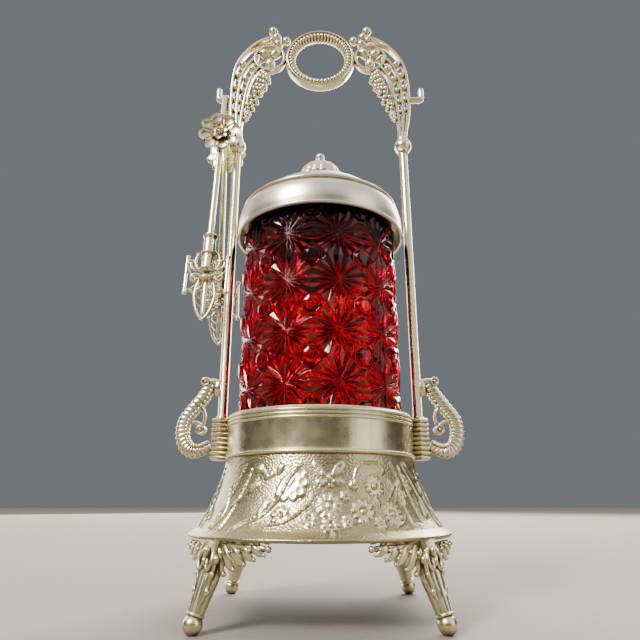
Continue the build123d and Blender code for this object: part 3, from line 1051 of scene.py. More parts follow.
# ---- stand --------------------------------------------------------------------------------------
@dataclass
class HolderBand:
    """The plain band round the jar's foot, reeded at the top and beaded at the bottom."""

    wall: float = 1.2
    reed: float = 0.62
    reed_drop: tuple[float, ...] = (4.4, 2.9, 1.4)
    bead: float = 0.85

    def build(self) -> None:
        """Makes the band as one turned ring."""
        low, high = span("holder_band")
        out = high.y - self.reed
        profile = [(out - self.wall, high.z - 0.2), (out - self.wall, low.z), (out, low.z)]
        profile += roll(out, low.z + self.bead + 0.1, self.bead, -80, 80, 10)
        profile += [(out - 0.02, low.z + 2.6)]
        for drop in self.reed_drop:
            profile += roll(out - 0.05, high.z - drop, self.reed, -72, 72, 6)
        profile += [(out - 0.1, high.z - 0.5), (out - 0.35, high.z), (out - self.wall + 0.3, high.z)]
        bm = bmesh.new()
        turned(bm, profile, ROUND_STEPS, closed=True)
        finish_piece("band_reeded", closed_mesh(bm), BRUSHED_SILVER, "frame", ("holder_band",), 38)


class Relief:
    """A height map in millimetres over (along, up) points, raised motif by motif."""

    def __init__(self, along: np.ndarray, up: np.ndarray) -> None:
        """Starts flat over the given points."""
        self.along = along
        self.up = up
        self.high = np.zeros_like(along)

    def raise_to(self, shape: np.ndarray) -> None:
        """Raises the map to a shape wherever the shape is higher."""
        self.high = np.maximum(self.high, shape)

    def stroke(self, points: Sequence[Spot], width: float, high: float, tip: float = 0.4) -> None:
        """Raises a rounded line.

        Args:
            points: the line's own points, along and up.
            width: half its width.
            high: how proud it stands.
            tip: the share of the width left at its end.
        """
        line = [(spot.x, spot.z) for spot in smooth_path(points, 4)]
        spans = len(line) - 1
        for i, ((x0, z0), (x1, z1)) in enumerate(zip(line, line[1:])):
            dx = x1 - x0
            dz = z1 - z0
            share = ((self.along - x0) * dx + (self.up - z0) * dz) / max(dx * dx + dz * dz, 1e-9)
            share = np.clip(share, 0, 1)
            away = np.hypot(self.along - x0 - share * dx, self.up - z0 - share * dz)
            reach = width * (1 - (1 - tip) * (i + share) / spans)
            self.raise_to(high * np.clip(1 - (away / reach) ** 2, 0, 1))

    def lobe(self, middle: Spot, sizes: Spot, turn: float, high: float, cupped: float = 0.0,
             vein: float = 0.0) -> None:
        """Raises an oval petal or leaf.

        Args:
            middle: its middle.
            sizes: half its length and half its width.
            turn: which way its length runs, in degrees.
            high: how proud it stands.
            cupped: the share by which its middle is hollowed.
            vein: the share by which a line down its length is sunk.
        """
        c = math.cos(math.radians(turn))
        s = math.sin(math.radians(turn))
        dx = self.along - middle[0]
        dz = self.up - middle[1]
        length = (dx * c + dz * s) / sizes[0]
        width = (dz * c - dx * s) / sizes[1]
        out = length ** 2 + width ** 2
        shape = np.clip((1 - out) * 2.6, 0, 1) * (1 - cupped * np.clip(1 - out, 0, 1))
        if vein:
            shape = shape * (1 - vein * np.exp(-(width / 0.16) ** 2))
        self.raise_to(high * shape)

    def daisy(self, middle: Spot, radius: float, petals: int, high: float, turn: float = 0.0) -> None:
        """Raises a daisy with a domed eye.

        Args:
            middle: its middle.
            radius: how far its petals reach.
            petals: how many it has.
            high: how proud it stands.
            turn: which way the first petal points, in degrees.
        """
        for k in range(petals):
            way = math.radians(turn + 360 * k / petals)
            spot = (middle[0] + 0.66 * radius * math.cos(way), middle[1] + 0.66 * radius * math.sin(way))
            self.lobe(spot, (0.36 * radius, 0.55 * radius * math.sin(math.pi / petals) + 0.12),
                      math.degrees(way), high, cupped=0.35)
        away = np.hypot(self.along - middle[0], self.up - middle[1])
        self.raise_to(1.15 * high * np.clip(1 - (away / (0.27 * radius)) ** 2, 0, 1))


# ---- skirt --------------------------------------------------------------------------------------
@dataclass
class EmbossedSkirt:
    """The flared skirt, pressed with a lily, a butterfly, daisies and reeds, the same on the back."""

    wall: float = 1.3
    hem: float = 0.8
    rows: int = 14
    steps: int = 660
    high: float = 0.78
    run: float = 0.785
    curve: tuple[Spot, ...] = ((0.0, 0.0), (-2.4, 2.7), (-5.8, 7.7), (-9.1, 14.9), (-11.7, 22.9),
                               (-13.5, 30.7))
    daisies: tuple[tuple[float, float, float, int], ...] = (
        (27.0, 48.0, 4.1, 12), (4.0, 41.2, 4.3, 11), (19.0, 39.4, 4.2, 10), (33.5, 38.3, 4.2, 11),
        (4.5, 35.0, 2.9, 8), (16.5, 48.6, 1.9, 6), (-17.0, 37.9, 3.2, 8), (-4.5, 37.2, 2.9, 8),
        (12.0, 44.6, 1.9, 6), (26.4, 42.2, 1.8, 6), (11.6, 36.3, 2.1, 7), (25.6, 35.2, 2.3, 7))

    def __post_init__(self) -> None:
        """Takes the skirt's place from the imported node."""
        low, high = span("base_skirt")
        self.hem_z = low.z + self.hem
        self.top_z = high.z
        self.hem_radius = high.x - self.hem

    def spot(self, azimuth: float, height: float) -> Spot:
        """A place on the relief, from degrees round and a height."""
        return azimuth * self.run, height

    def path(self, *places: Spot) -> list[Spot]:
        """Several places on the relief."""
        return [self.spot(*place) for place in places]

    def lily(self, relief: Relief) -> None:
        """Raises the trumpet flower with its scalloped edge.

        Args:
            relief: the map it raises.
        """
        high = self.high
        for azimuth, z, long, wide, turn in ((-9.4, 52.6, 2.5, 2.2, 35), (-8.2, 49.4, 2.4, 2.0, -5),
                                             (-9.4, 46.4, 2.4, 1.9, -40), (-12.4, 44.9, 2.2, 1.7, -70),
                                             (-16.4, 44.6, 2.0, 1.5, -95), (-12.6, 54.3, 2.2, 1.6, 60)):
            relief.lobe(self.spot(azimuth, z), (long, wide), turn, high * 1.1, cupped=0.55)
        relief.lobe(self.spot(-13.8, 49.4), (5.6, 3.7), 52, high * 0.8, cupped=0.3)
        relief.lobe(self.spot(-17.6, 48.2), (5.0, 1.9), 62, high * 1.15, cupped=0.45)
        relief.stroke(self.path((-9.5, 55.8), (-13.0, 52.8), (-15.6, 49.6), (-17.4, 46.4), (-19.0, 43.6)),
                      0.62, high * 1.5, 0.5)
        relief.stroke(self.path((-12.6, 50.6), (-14.6, 48.4), (-15.4, 46.6)), 0.45, high * 1.3)

    def butterfly(self, relief: Relief) -> None:
        """Raises the butterfly.

        Args:
            relief: the map it raises.
        """
        high = self.high
        relief.stroke(self.path((4.5, 51.6), (4.9, 49.7), (5.2, 48.0)), 0.75, high * 1.3, 0.5)
        for azimuth, z, long, wide, turn in ((9.2, 54.2, 3.6, 1.35, 46), (-0.6, 54.0, 3.5, 1.15, 128),
                                             (9.0, 49.6, 1.9, 0.9, 10), (0.8, 49.4, 1.8, 0.85, 170)):
            relief.lobe(self.spot(azimuth, z), (long, wide), turn, high, cupped=0.75, vein=0.5)
            relief.stroke(self.path((4.6, 50.4), (azimuth, z)), 0.3, high * 0.9, 0.3)

    def stems(self, relief: Relief) -> None:
        """Raises the stems, tendrils and leaves.

        Args:
            relief: the map it raises.
        """
        high = self.high
        for line in (((-3.5, 45.0), (-5.2, 42.0), (-6.5, 40.8), (-10.5, 38.0), (-16.5, 35.4), (-22.5, 34.5)),
                     ((18.5, 54.3), (21.5, 56.2), (25.0, 56.7), (31.0, 56.5)),
                     ((18.5, 54.3), (17.0, 51.0), (16.5, 48.6)), ((27.0, 44.5), (24.0, 41.5), (19.0, 39.4)),
                     ((-19.0, 43.6), (-22.0, 40.6), (-26.0, 37.4), (-31.0, 35.0)),
                     ((41.0, 57.0), (43.0, 53.8), (44.5, 50.2)),
                     ((-33.0, 54.4), (-30.0, 53.4), (-27.0, 51.0)), ((4.5, 33.4), (9.0, 33.9), (16.0, 35.4)),
                     ((33.5, 34.4), (38.0, 35.6), (41.0, 38.4))):
            relief.stroke(self.path(*line), 0.5, high, 0.5)
        for end in ((33.0, 42.9), (37.5, 42.0), (40.6, 40.2), (44.0, 38.8), (42.5, 34.4), (46.4, 44.6)):
            middle = ((44.5 + end[0]) / 2 - 0.6, (50.2 + end[1]) / 2 + 0.4)
            relief.stroke(self.path((44.5, 50.2), middle, end), 0.75, high, 0.15)
        for start, end, wide in (((-28.5, 37.8), (-22.4, 43.6), 1.2), ((-27.4, 36.6), (-24.6, 44.8), 0.9),
                                 ((-22.0, 52.4), (-18.8, 56.4), 1.1), ((-29.5, 51.5), (-22.5, 52.9), 1.2),
                                 ((-34.6, 53.4), (-31.4, 55.8), 1.1), ((-37.5, 46.0), (-31.0, 49.4), 1.1),
                                 ((49.5, 53.0), (52.4, 45.6), 1.1), ((60.5, 44.6), (57.0, 36.0), 1.2),
                                 ((36.4, 50.6), (39.4, 46.8), 1.0), ((32.0, 52.8), (35.4, 54.6), 0.9)):
            first = self.spot(*start)
            last = self.spot(*end)
            middle = ((first[0] + last[0]) / 2, (first[1] + last[1]) / 2)
            length = math.dist(first, last) / 2
            turn = math.degrees(math.atan2(last[1] - first[1], last[0] - first[0]))
            relief.lobe(middle, (length, wide), turn, high, vein=0.6)

    def reeds(self, relief: Relief) -> None:
        """Raises the reeds and blades that fill the sides.

        Args:
            relief: the map it raises.
        """
        high = self.high * 0.85
        for start, bend, end in (((-56, 31.5), (-49, 46.0), (-43, 56.4)),
                                 ((-54, 32.7), (-49, 39.3), (-52.5, 48.6)),
                                 ((-46, 40.3), (-39, 45.0), (-33, 50.9)),
                                 ((-39, 33.2), (-33, 36.4), (-27.5, 37.9)),
                                 ((-47, 33.0), (-43, 42.0), (-38, 54.6)),
                                 ((51, 56.6), (57, 48.0), (62, 36.0)), ((54, 57.0), (61, 50.0), (68, 38.0)),
                                 ((47, 55.6), (50, 44.0), (51, 35.0))):
            relief.stroke(self.path(start, bend, end), 0.6, high, 0.3)
        for k in range(7):
            root = 68 + 7.6 * k
            lean = 5 if k % 2 else -4
            relief.stroke(self.path((root, 33.0), (root + lean * 0.3, 43.0),
                                    (root + lean, 56.0 - 2 * (k % 3))),
                          0.62, high, 0.25)
            relief.lobe(self.spot(root + 3.2, 38.0 + 5.4 * (k % 3)), (3.4, 0.95), 62 if k % 2 else 118, high,
                        vein=0.6)

    def emboss(self, bm: bmesh.types.BMesh, hem_inner: float) -> None:
        """Pushes the outer wall out under the motifs and marks where they are.

        Args:
            bm: the skirt's mesh.
            hem_inner: how far in from the outer face the wall still counts as outer.
        """
        spots = np.array([vert.co for vert in bm.verts])
        reach = np.hypot(spots[:, 0], spots[:, 1])
        round_deg = np.degrees(np.arctan2(spots[:, 0], -spots[:, 1]))
        line = rounded([(self.hem_radius + r, self.hem_z - self.hem + z) for r, z in self.curve], 8)
        heights = np.array([z for _, z in line])
        radii = np.array([r for r, _ in line])
        outer = reach > np.interp(spots[:, 2], heights, radii) - hem_inner
        behind = np.where((round_deg > 124) | (round_deg < -56), 180.0, 0.0)
        local = (round_deg - behind + 180) % 360 - 180
        relief = Relief(local * self.run, spots[:, 2])
        self.reeds(relief)
        self.stems(relief)
        self.lily(relief)
        self.butterfly(relief)
        for azimuth, z, radius, petals in self.daisies:
            relief.daisy(self.spot(azimuth, z), radius, petals, self.high * 1.15, 11 * azimuth)
        rise = np.clip((spots[:, 2] - self.hem_z - 2.0) / 1.2, 0, 1)
        fall = np.clip((self.top_z - 1.2 - spots[:, 2]), 0, 1)
        push = np.where(outer, relief.high * (rise * fall), 0.0)
        scale = 1 + push * 0.93 / reach
        marked = bm.verts.layers.float.new(MOTIF)
        for vert, share, lift in zip(bm.verts, scale, push):
            vert.co.x *= share
            vert.co.y *= share
            vert.co.z += 0.3 * lift
            vert[marked] = min(lift / (0.45 * self.high), 1.0)

    def build(self) -> None:
        """Makes the skirt as one closed sheet."""
        base = self.hem_z - self.hem
        outer = rounded([(self.hem_radius + r, base + z) for r, z in self.curve[1:]], self.rows)
        inner = [(r - self.wall, z) for r, z in outer[::6]]
        edge = roll(self.hem_radius - 0.1, self.hem_z, self.hem, -160, 60, 9)
        profile = [*edge, *outer[2:], (outer[-1][0] - 0.2, self.top_z), *reversed(inner)]
        bm = bmesh.new()
        turned(bm, profile, self.steps, closed=True)
        closed_mesh(bm)
        self.emboss(bm, self.wall / 2)
        finish_piece("skirt_embossed", bm, EMBOSSED_SILVER, "frame", ("base_skirt",), 60)


# ---- feet ---------------------------------------------------------------------------------------
def leaf_width(size: float) -> Taper:
    """Half a leaf's width: broad past its root and blunt at its tip."""
    return lambda t: size * math.sin(math.pi * (0.14 + 0.8 * t)) ** 0.8


def leaf_fold(t: float, angle: float) -> float:
    """The groove down a leaf's front, the same all along it."""
    return 1 - 0.22 * max(math.sin(angle), 0.0) ** 6


@dataclass
class CastFoot:
    """A cast foot: toe ball, fluted leg, scrolled knobs and a leafy wing on each side under the hem."""

    name: str
    azimuth: float
    toe_circle: float = 61.0
    toe: float = 3.45
    toe_flat: float = 0.25
    hem_radius: float = 54.3
    wing_top: float = 28.9

    def on_hem(self, azimuth: float, height: float, inward: float = 0.6) -> Vector:
        """A place under the hem, from degrees off the leg and a height."""
        turn = math.radians(azimuth)
        reach = self.hem_radius - inward
        return Vector((reach * math.cos(turn), reach * math.sin(turn), height))

    def leg(self, bm: bmesh.types.BMesh) -> None:
        """Adds the fluted leg and its toe.

        Args:
            bm: the foot's mesh.
        """
        toe_z = self.toe - self.toe_flat
        path = smooth_path([(51.4, 0.0, 28.6), (53.0, 0.0, 23.5), (55.2, 0.0, 17.6), (57.6, 0.0, 11.6),
                            (60.0, 0.0, 5.6)], 9)

        def flutes(t: float, angle: float) -> float:
            """Two ridges with a groove between them, on the front."""
            front = max(math.sin(angle), 0.0) ** 0.5
            return 1 + 0.25 * front * math.cos(6 * (angle - math.pi / 2) + math.pi) * (1 - 0.4 * t)

        def wide(t: float) -> float:
            """Half the leg's width: broad at the top, waisted above the toe."""
            return 2.75 + 3.3 * (1 - t) ** 1.15 + 0.45 * math.exp(-((t - 0.58) / 0.07) ** 2)

        swept(bm, path, wide, lambda t: 2.5 + 1.5 * (1 - t), face=Vector((1, 0, 0.45)).normalized(), sides=28,
              relief=flutes)
        bmesh.ops.create_uvsphere(bm, u_segments=28, v_segments=18, radius=self.toe,
                                  matrix=Matrix.Translation((self.toe_circle, 0, toe_z)))
        collar = Matrix.Translation((60.1, 0, 5.9)) @ Matrix.Rotation(math.radians(-22), 4, "Y")
        turned(bm, [(0.0, -0.6), *roll(2.75, 0.0, 0.5, -90, 90, 8), (0.0, 0.6)], 28, place=collar)
        for vert in bm.verts:
            vert.co.z = max(vert.co.z, 0.0)

    def scrollwork(self, bm: bmesh.types.BMesh, side: int) -> None:
        """Adds the loops at the leg's top and the knobs down its side.

        Args:
            bm: the foot's mesh.
            side: 1 or -1.
        """
        face = Vector((1, 0, 0.4)).normalized()
        loop = smooth_path([(54.6, 0.4 * side, 26.8), (56.2, 2.9 * side, 26.0), (57.4, 3.9 * side, 23.0),
                            (58.2, 2.8 * side, 20.2), (58.0, 1.3 * side, 21.0), (57.2, 1.2 * side, 23.8)], 6)
        swept(bm, loop, eased(0.9, 0.55, 0.12), eased(0.85, 0.5, 0.12), face=face, sides=8)
        edge = smooth_path([(56.2, 4.6 * side, 25.4), (57.0, 4.5 * side, 20.4), (58.0, 3.3 * side, 15.6),
                            (58.9, 3.5 * side, 12.8), (60.0, 2.2 * side, 9.4)], 5)
        swept(bm, edge, eased(0.85, 0.5, 0.1), eased(0.8, 0.5, 0.1), face=face, sides=8)
        for x, y, z, size in ((58.6, 3.7, 13.2, 1.05), (57.4, 4.4, 18.6, 0.9), (56.4, 5.2, 23.4, 1.15)):
            bead(bm, (x, y * side, z), size, (1.0, 1.0, 1.3))

    def wing(self, bm: bmesh.types.BMesh, side: int) -> None:
        """Adds one leafy wing.

        Args:
            bm: the foot's mesh.
            side: 1 or -1.
        """
        top = self.wing_top
        spine = [self.on_hem(side * turn, top - drop, inward) for turn, drop, inward in
                 ((1.0, 2.0, 1.2), (6.0, 2.2, 1.0), (12.0, 1.9, 0.9), (18.0, 1.6, 0.9), (25.6, 1.5, 0.8))]
        out = self.on_hem(side * 12.0, 0.0, 0.0).normalized()
        swept(bm, smooth_path(spine, 6), eased(2.1, 1.1, 0.08), eased(0.9, 0.7, 0.08), face=out, sides=10)
        for k, (root, end, drop, size) in enumerate(((2.5, 6.8, 10.2, 2.0), (6.5, 11.6, 8.4, 1.9),
                                                     (11.0, 16.4, 6.6, 1.7), (15.5, 20.6, 5.0, 1.5),
                                                     (19.5, 24.6, 3.4, 1.3))):
            out = self.on_hem(side * (root + end) / 2, 0.0, 0.0).normalized()
            leaf = [self.on_hem(side * turn, top - fall, inward) for turn, fall, inward in
                    ((root, 1.2, 0.2), (root + 1.4, 0.45 * drop, -0.5), (end - 1.6, 0.85 * drop, -0.3),
                     (end, drop, 0.2))]
            swept(bm, smooth_path(leaf, 5), leaf_width(size), keep(0.75), face=out, sides=12,
                  relief=leaf_fold)
            bead(bm, self.on_hem(side * end, top - drop, 0.0), 0.95 - 0.06 * k)
            bead(bm, self.on_hem(side * (root + 3.6), top - 0.25 * drop - 0.8, -0.9), 0.75)
        bead(bm, self.on_hem(side * 26.0, top - 1.6, 0.6), 1.15)

    def build(self) -> None:
        """Makes the foot."""
        bm = bmesh.new()
        self.leg(bm)
        for side in (-1, 1):
            self.scrollwork(bm, side)
            self.wing(bm, side)
        for z, size in ((25.8, 1.7), (22.6, 1.25)):
            bead(bm, (57.0 + (25.8 - z) * 0.3, 0.0, z), size, (0.7, 0.7, 1.2))
        bmesh.ops.rotate(bm, cent=(0, 0, 0), matrix=Matrix.Rotation(math.radians(self.azimuth), 3, "Z"),
                         verts=bm.verts)
        finish_piece(f"{self.name}_cast", closed_mesh(bm), CAST_SILVER, "frame", (self.name,), 55)


# ---- bail ---------------------------------------------------------------------------------------
def both_sides(name: str, bm: bmesh.types.BMesh, finish: PlateFinish, node: str,
               crease: float = 45.0) -> None:
    """Finishes a right-hand piece and its mirrored left-hand twin.

    Args:
        name: the pieces' name, before the side.
        bm: the right-hand mesh.
        finish: what their surface is.
        node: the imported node's name, before the side.
        crease: edges sharper than this many degrees stay crisp.
    """
    closed_mesh(bm)
    twin = mirrored(bm)
    for side, mesh in ((Side.RIGHT, bm), (Side.LEFT, twin)):
        label = side.name.lower()
        finish_piece(f"{name}_{label}", mesh, finish, "frame", (f"{node}_{label}",), crease)


@dataclass
class BailPosts:
    """The upright rods with their ribbed sockets below and their collar balls above."""

    ribs: int = 9
    flats: float = 3.7
    rib: float = 0.62
    rod: float = 2.1

    def __post_init__(self) -> None:
        """Takes the posts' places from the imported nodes."""
        low, high = span("rod_socket_right")
        self.socket_low = low.z
        self.socket_high = high.z
        rod_low, rod_high = span("bail_rod_right")
        self.rod_x = (rod_low.x + rod_high.x) / 2
        self.rod_top = rod_high.z
        ball_low, ball_high = span("collar_ball_right")
        self.ball_z = (ball_low.z + ball_high.z) / 2
        self.ball = (ball_high.z - ball_low.z) / 2

    def build(self) -> None:
        """Makes the posts' pieces."""
        bm = bmesh.new()
        path = [Vector((self.rod_x, 0, self.socket_low + (self.socket_high - self.socket_low) * i / 90))
                for i in range(91)]
        corner = self.flats / math.cos(math.pi / 6)
        swept(bm, path, keep(corner), keep(corner), sides=36, relief=self.barrel)
        both_sides("socket_ribbed", bm, CAST_SILVER, "rod_socket", 50)
        bm = bmesh.new()
        foot = self.socket_high - 2.0
        place = Matrix.Translation((self.rod_x, 0, 0))
        turned(bm, [(0.0, foot), (self.rod + 0.5, foot), (self.rod + 0.5, self.socket_high + 0.7),
                    (self.rod, self.socket_high + 1.2), (self.rod, self.rod_top), (0.0, self.rod_top)], 32,
               place=place)
        both_sides("post_rod", bm, WIRE_SILVER, "bail_rod")
        bm = bmesh.new()
        middle = self.ball_z
        size = self.ball
        turned(bm, [(0.0, middle - size), (2.7, middle - size + 0.05), (3.0, middle - size + 0.9),
                    *roll(0.0, middle, size - 0.15, -48, 48, 14), (3.0, middle + size - 0.9),
                    (2.9, middle + size - 0.1), (0.0, middle + size)], 36, place=place)
        both_sides("post_ball", bm, CAST_SILVER, "collar_ball")

    def barrel(self, t: float, angle: float) -> float:
        """The socket's hexagonal section, swelling at each rib."""
        sixth = TAU / 6
        off = (angle - math.pi / 2 + sixth / 2) % sixth - sixth / 2
        hexagon = math.cos(math.pi / 6) / math.cos(abs(off) - math.pi / 6)
        bulge = abs(math.sin(math.pi * self.ribs * t)) ** 0.85
        return hexagon * (1 - self.rib / self.flats * (1 - bulge)) * (1 + self.rib / self.flats)


@dataclass
class HandleRing:
    """The ring at the top: a smooth outer hoop round a gadrooned inner one."""

    gadroons: int = 50
    steps: int = 400

    def __post_init__(self) -> None:
        """Takes the ring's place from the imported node."""
        low, high = span("handle_ring")
        self.middle_z = (low.z + high.z) / 2
        self.radius = high.x
        self.half = high.y
        self.bore = self.radius - 5.6

    def build(self) -> None:
        """Makes the ring."""
        half = self.half
        tilt = Matrix.Translation((0, 0, self.middle_z)) @ Matrix.Rotation(math.radians(90), 4, "X")
        bm = bmesh.new()
        hoop = rounded([(self.bore + 3.9, -half + 0.4), (self.bore + 4.3, -half + 0.1),
                        (self.radius - 0.7, -half + 0.5), (self.radius - 0.1, -half + 1.5),
                        (self.radius, 0.0), (self.radius - 0.1, half - 1.5), (self.radius - 0.7, half - 0.5),
                        (self.bore + 4.3, half - 0.1), (self.bore + 3.9, half - 0.4)], 4)
        turned(bm, hoop, 144, closed=True, place=tilt)
        inner = bmesh.new()
        section = [(self.bore + 2.3 + 2.3 * math.cos(TAU * k / 20), half * math.sin(TAU * k / 20))
                   for k in range(20)]
        turned(inner, section, self.steps, closed=True)
        for vert in inner.verts:
            turn = math.atan2(vert.co.y, vert.co.x)
            reach = math.hypot(vert.co.x, vert.co.y)
            swell_share = abs(math.cos(turn * self.gadroons / 2)) ** 0.55
            middle = self.bore + 2.6
            pulled = middle + (reach - middle) * (0.5 + 0.5 * swell_share)
            vert.co.x *= pulled / reach
            vert.co.y *= pulled / reach
            vert.co.z *= 0.78 + 0.22 * swell_share
        bmesh.ops.transform(inner, matrix=tilt, verts=inner.verts)
        absorb(bm, inner)
        finish_piece("ring_gadrooned", closed_mesh(bm), CAST_SILVER, "frame", ("handle_ring",), 60)


@dataclass
class BailCrest:
    """The openwork horn of plenty: ribs, a loop with three petals, a bunch of fruit and the top balls."""

    rib: float = 0.85
    deep: float = 2.1
    outer_rib: tuple[Spot, ...] = ((28.2, 297.3), (33.4, 295.2), (38.8, 290.9), (44.0, 284.2), (47.3, 277.0),
                                   (48.8, 266.7), (49.0, 254.3), (48.5, 243.0), (46.8, 234.0), (46.0, 228.6))
    middle_rib: tuple[Spot, ...] = ((35.0, 284.4), (39.5, 280.0), (43.4, 272.0), (45.0, 262.0), (45.7, 252.0),
                                    (45.6, 243.0), (45.0, 234.0), (44.6, 228.6))
    inner_rib: tuple[Spot, ...] = ((34.2, 277.0), (38.0, 270.4), (40.4, 262.2), (42.0, 252.0), (43.0, 241.6),
                                   (43.4, 234.0), (43.4, 228.6))
    loop_middle: Spot = (28.6, 282.8)
    loop: float = 8.3
    fruit_line: tuple[Spot, ...] = ((32.6, 273.0), (35.8, 264.6), (38.4, 256.2), (40.4, 248.0), (41.6, 241.6))
    fruit_edge: tuple[Spot, ...] = ((29.0, 269.8), (31.2, 263.4), (34.6, 256.2), (37.6, 248.8), (40.4, 242.6))
    top_balls: tuple[tuple[float, float, float], ...] = ((27.2, 302.9, 2.6), (24.9, 298.4, 2.6),
                                                         (24.0, 293.6, 2.7), (19.4, 296.0, 2.4),
                                                         (27.6, 296.6, 2.0))

    def build(self) -> None:
        """Makes both crests."""
        bm = bmesh.new()
        for line, depth in ((self.outer_rib, self.deep), (self.middle_rib, 1.9), (self.inner_rib, 2.0)):
            swept(bm, smooth_path(line, 7), eased(self.rib, self.rib, 0.02), keep(depth), sides=12,
                  square=0.55)
        turns = [math.radians(360 * k / 48) for k in range(49)]
        ring = [Vector((self.loop_middle[0] + self.loop * math.cos(turn), 0,
                        self.loop_middle[1] + self.loop * math.sin(turn))) for turn in turns]
        swept(bm, ring, keep(self.rib), keep(self.deep), sides=12, square=0.55)
        self.petals(bm)
        self.fruit(bm)
        for x, z, size in self.top_balls:
            bead(bm, (x, 0, z), size, fine=True)
        swept(bm, smooth_path([(31.6, 296.2), (28.4, 297.0), (24.6, 294.8), (21.0, 295.2)], 5), keep(0.9),
              keep(1.3), sides=10)
        swept(bm, smooth_path([(40.6, 288.4), (36.0, 291.4), (31.0, 292.6)], 5), eased(0.7, 0.7, 0.1),
              keep(1.2), sides=8)
        swept(bm, [Vector((44.6, 0, z)) for z in (227.6, 229.4, 231.2, 233.0)], lambda t: 2.7 - 0.3 * t,
              lambda t: 2.3 - 0.5 * t, sides=20)
        both_sides("crest_openwork", bm, CAST_SILVER, "bail_crest", 50)

    def petals(self, bm: bmesh.types.BMesh) -> None:
        """Adds the three petals in the loop, the bar they sit on and the beads between the ribs.

        Args:
            bm: the crest's mesh.
        """
        x, z = self.loop_middle
        for away, up, turn, long in ((3.0, 3.3, 45, 1.2), (-3.4, 3.4, 132, 1.3), (-0.2, -3.8, 92, 1.2)):
            tilt = Matrix.Rotation(math.radians(-turn), 4, "Y")
            bead(bm, (x + away, -0.6, z + up), 3.2, (long, 0.85, 0.85), tilt, fine=True)
            bead(bm, (x + away, -2.3, z + up), 1.7, (1.2 * long, 0.8, 0.6), tilt)
            bead(bm, (x + away, 1.6, z + up), 1.6, (long, 0.8, 0.9), tilt)
        bar = smooth_path([(37.2, 276.6), (33.4, 281.2), (27.0, 284.2), (21.4, 286.6)], 5)
        swept(bm, bar, keep(0.75), keep(1.1), sides=10)
        bead(bm, (x + 0.4, -0.6, z + 0.8), 1.2)
        beads = ((43.4, 278.2, 2.3), (45.7, 270.6, 2.2), (46.9, 262.4, 2.05), (47.2, 254.6, 1.85),
                 (47.0, 247.6, 1.6), (38.0, 275.2, 2.25), (41.2, 268.2, 2.1), (42.9, 260.6, 1.85),
                 (43.9, 253.2, 1.6), (44.3, 246.4, 1.3))
        for bx, bz, size in beads:
            bead(bm, (bx, 0, bz), size, (1.0, 1.3, 0.95), fine=True)

    def fruit(self, bm: bmesh.types.BMesh) -> None:
        """Adds the bunch of fruit down the inner side.

        Args:
            bm: the crest's mesh.
        """
        near = smooth_path(self.fruit_line, 3)
        far = smooth_path(self.fruit_edge, 3)
        for i, (right, left) in enumerate(zip(near, far)):
            t = i / (len(near) - 1)
            size = 1.75 - 0.65 * t
            across = 3 if t < 0.35 else 2
            for k in range(across):
                share = (k + 0.5 * (i % 2)) / (across - 0.5)
                shake = Vector((0.3 * math.sin(2.4 * i + k), 0, 0.35 * math.sin(1.7 * i)))
                spot = right.lerp(left, min(share, 1.0)) + shake
                for face in (-1, 1):
                    bead(bm, (spot.x, face * (1.0 - 0.25 * t), spot.z), size)
        bead(bm, (far[-1].x + 0.8, 0, far[-1].z - 1.4), 1.1)


@dataclass
class TongsHook:
    """The little upturned hook on the crest's outer side."""

    wire: float = 1.65

    def build(self) -> None:
        """Makes both hooks."""
        low, high = span("tongs_hook_right")
        bar_z = low.z + 1.4
        tip_x = high.x - 1.4
        bm = bmesh.new()
        path = smooth_path([(low.x - 1.2, bar_z), (tip_x - 3.0, bar_z), (tip_x - 0.9, bar_z + 0.1),
                            (tip_x, bar_z + 1.1), (tip_x + 0.05, bar_z + 3.6), (tip_x + 0.1, high.z - 0.1)],
                           6)
        swept(bm, path, eased(self.wire, self.wire * 0.95, 0.06), eased(self.wire, self.wire, 0.06), sides=14)
        both_sides("hook", bm, CAST_SILVER, "tongs_hook")


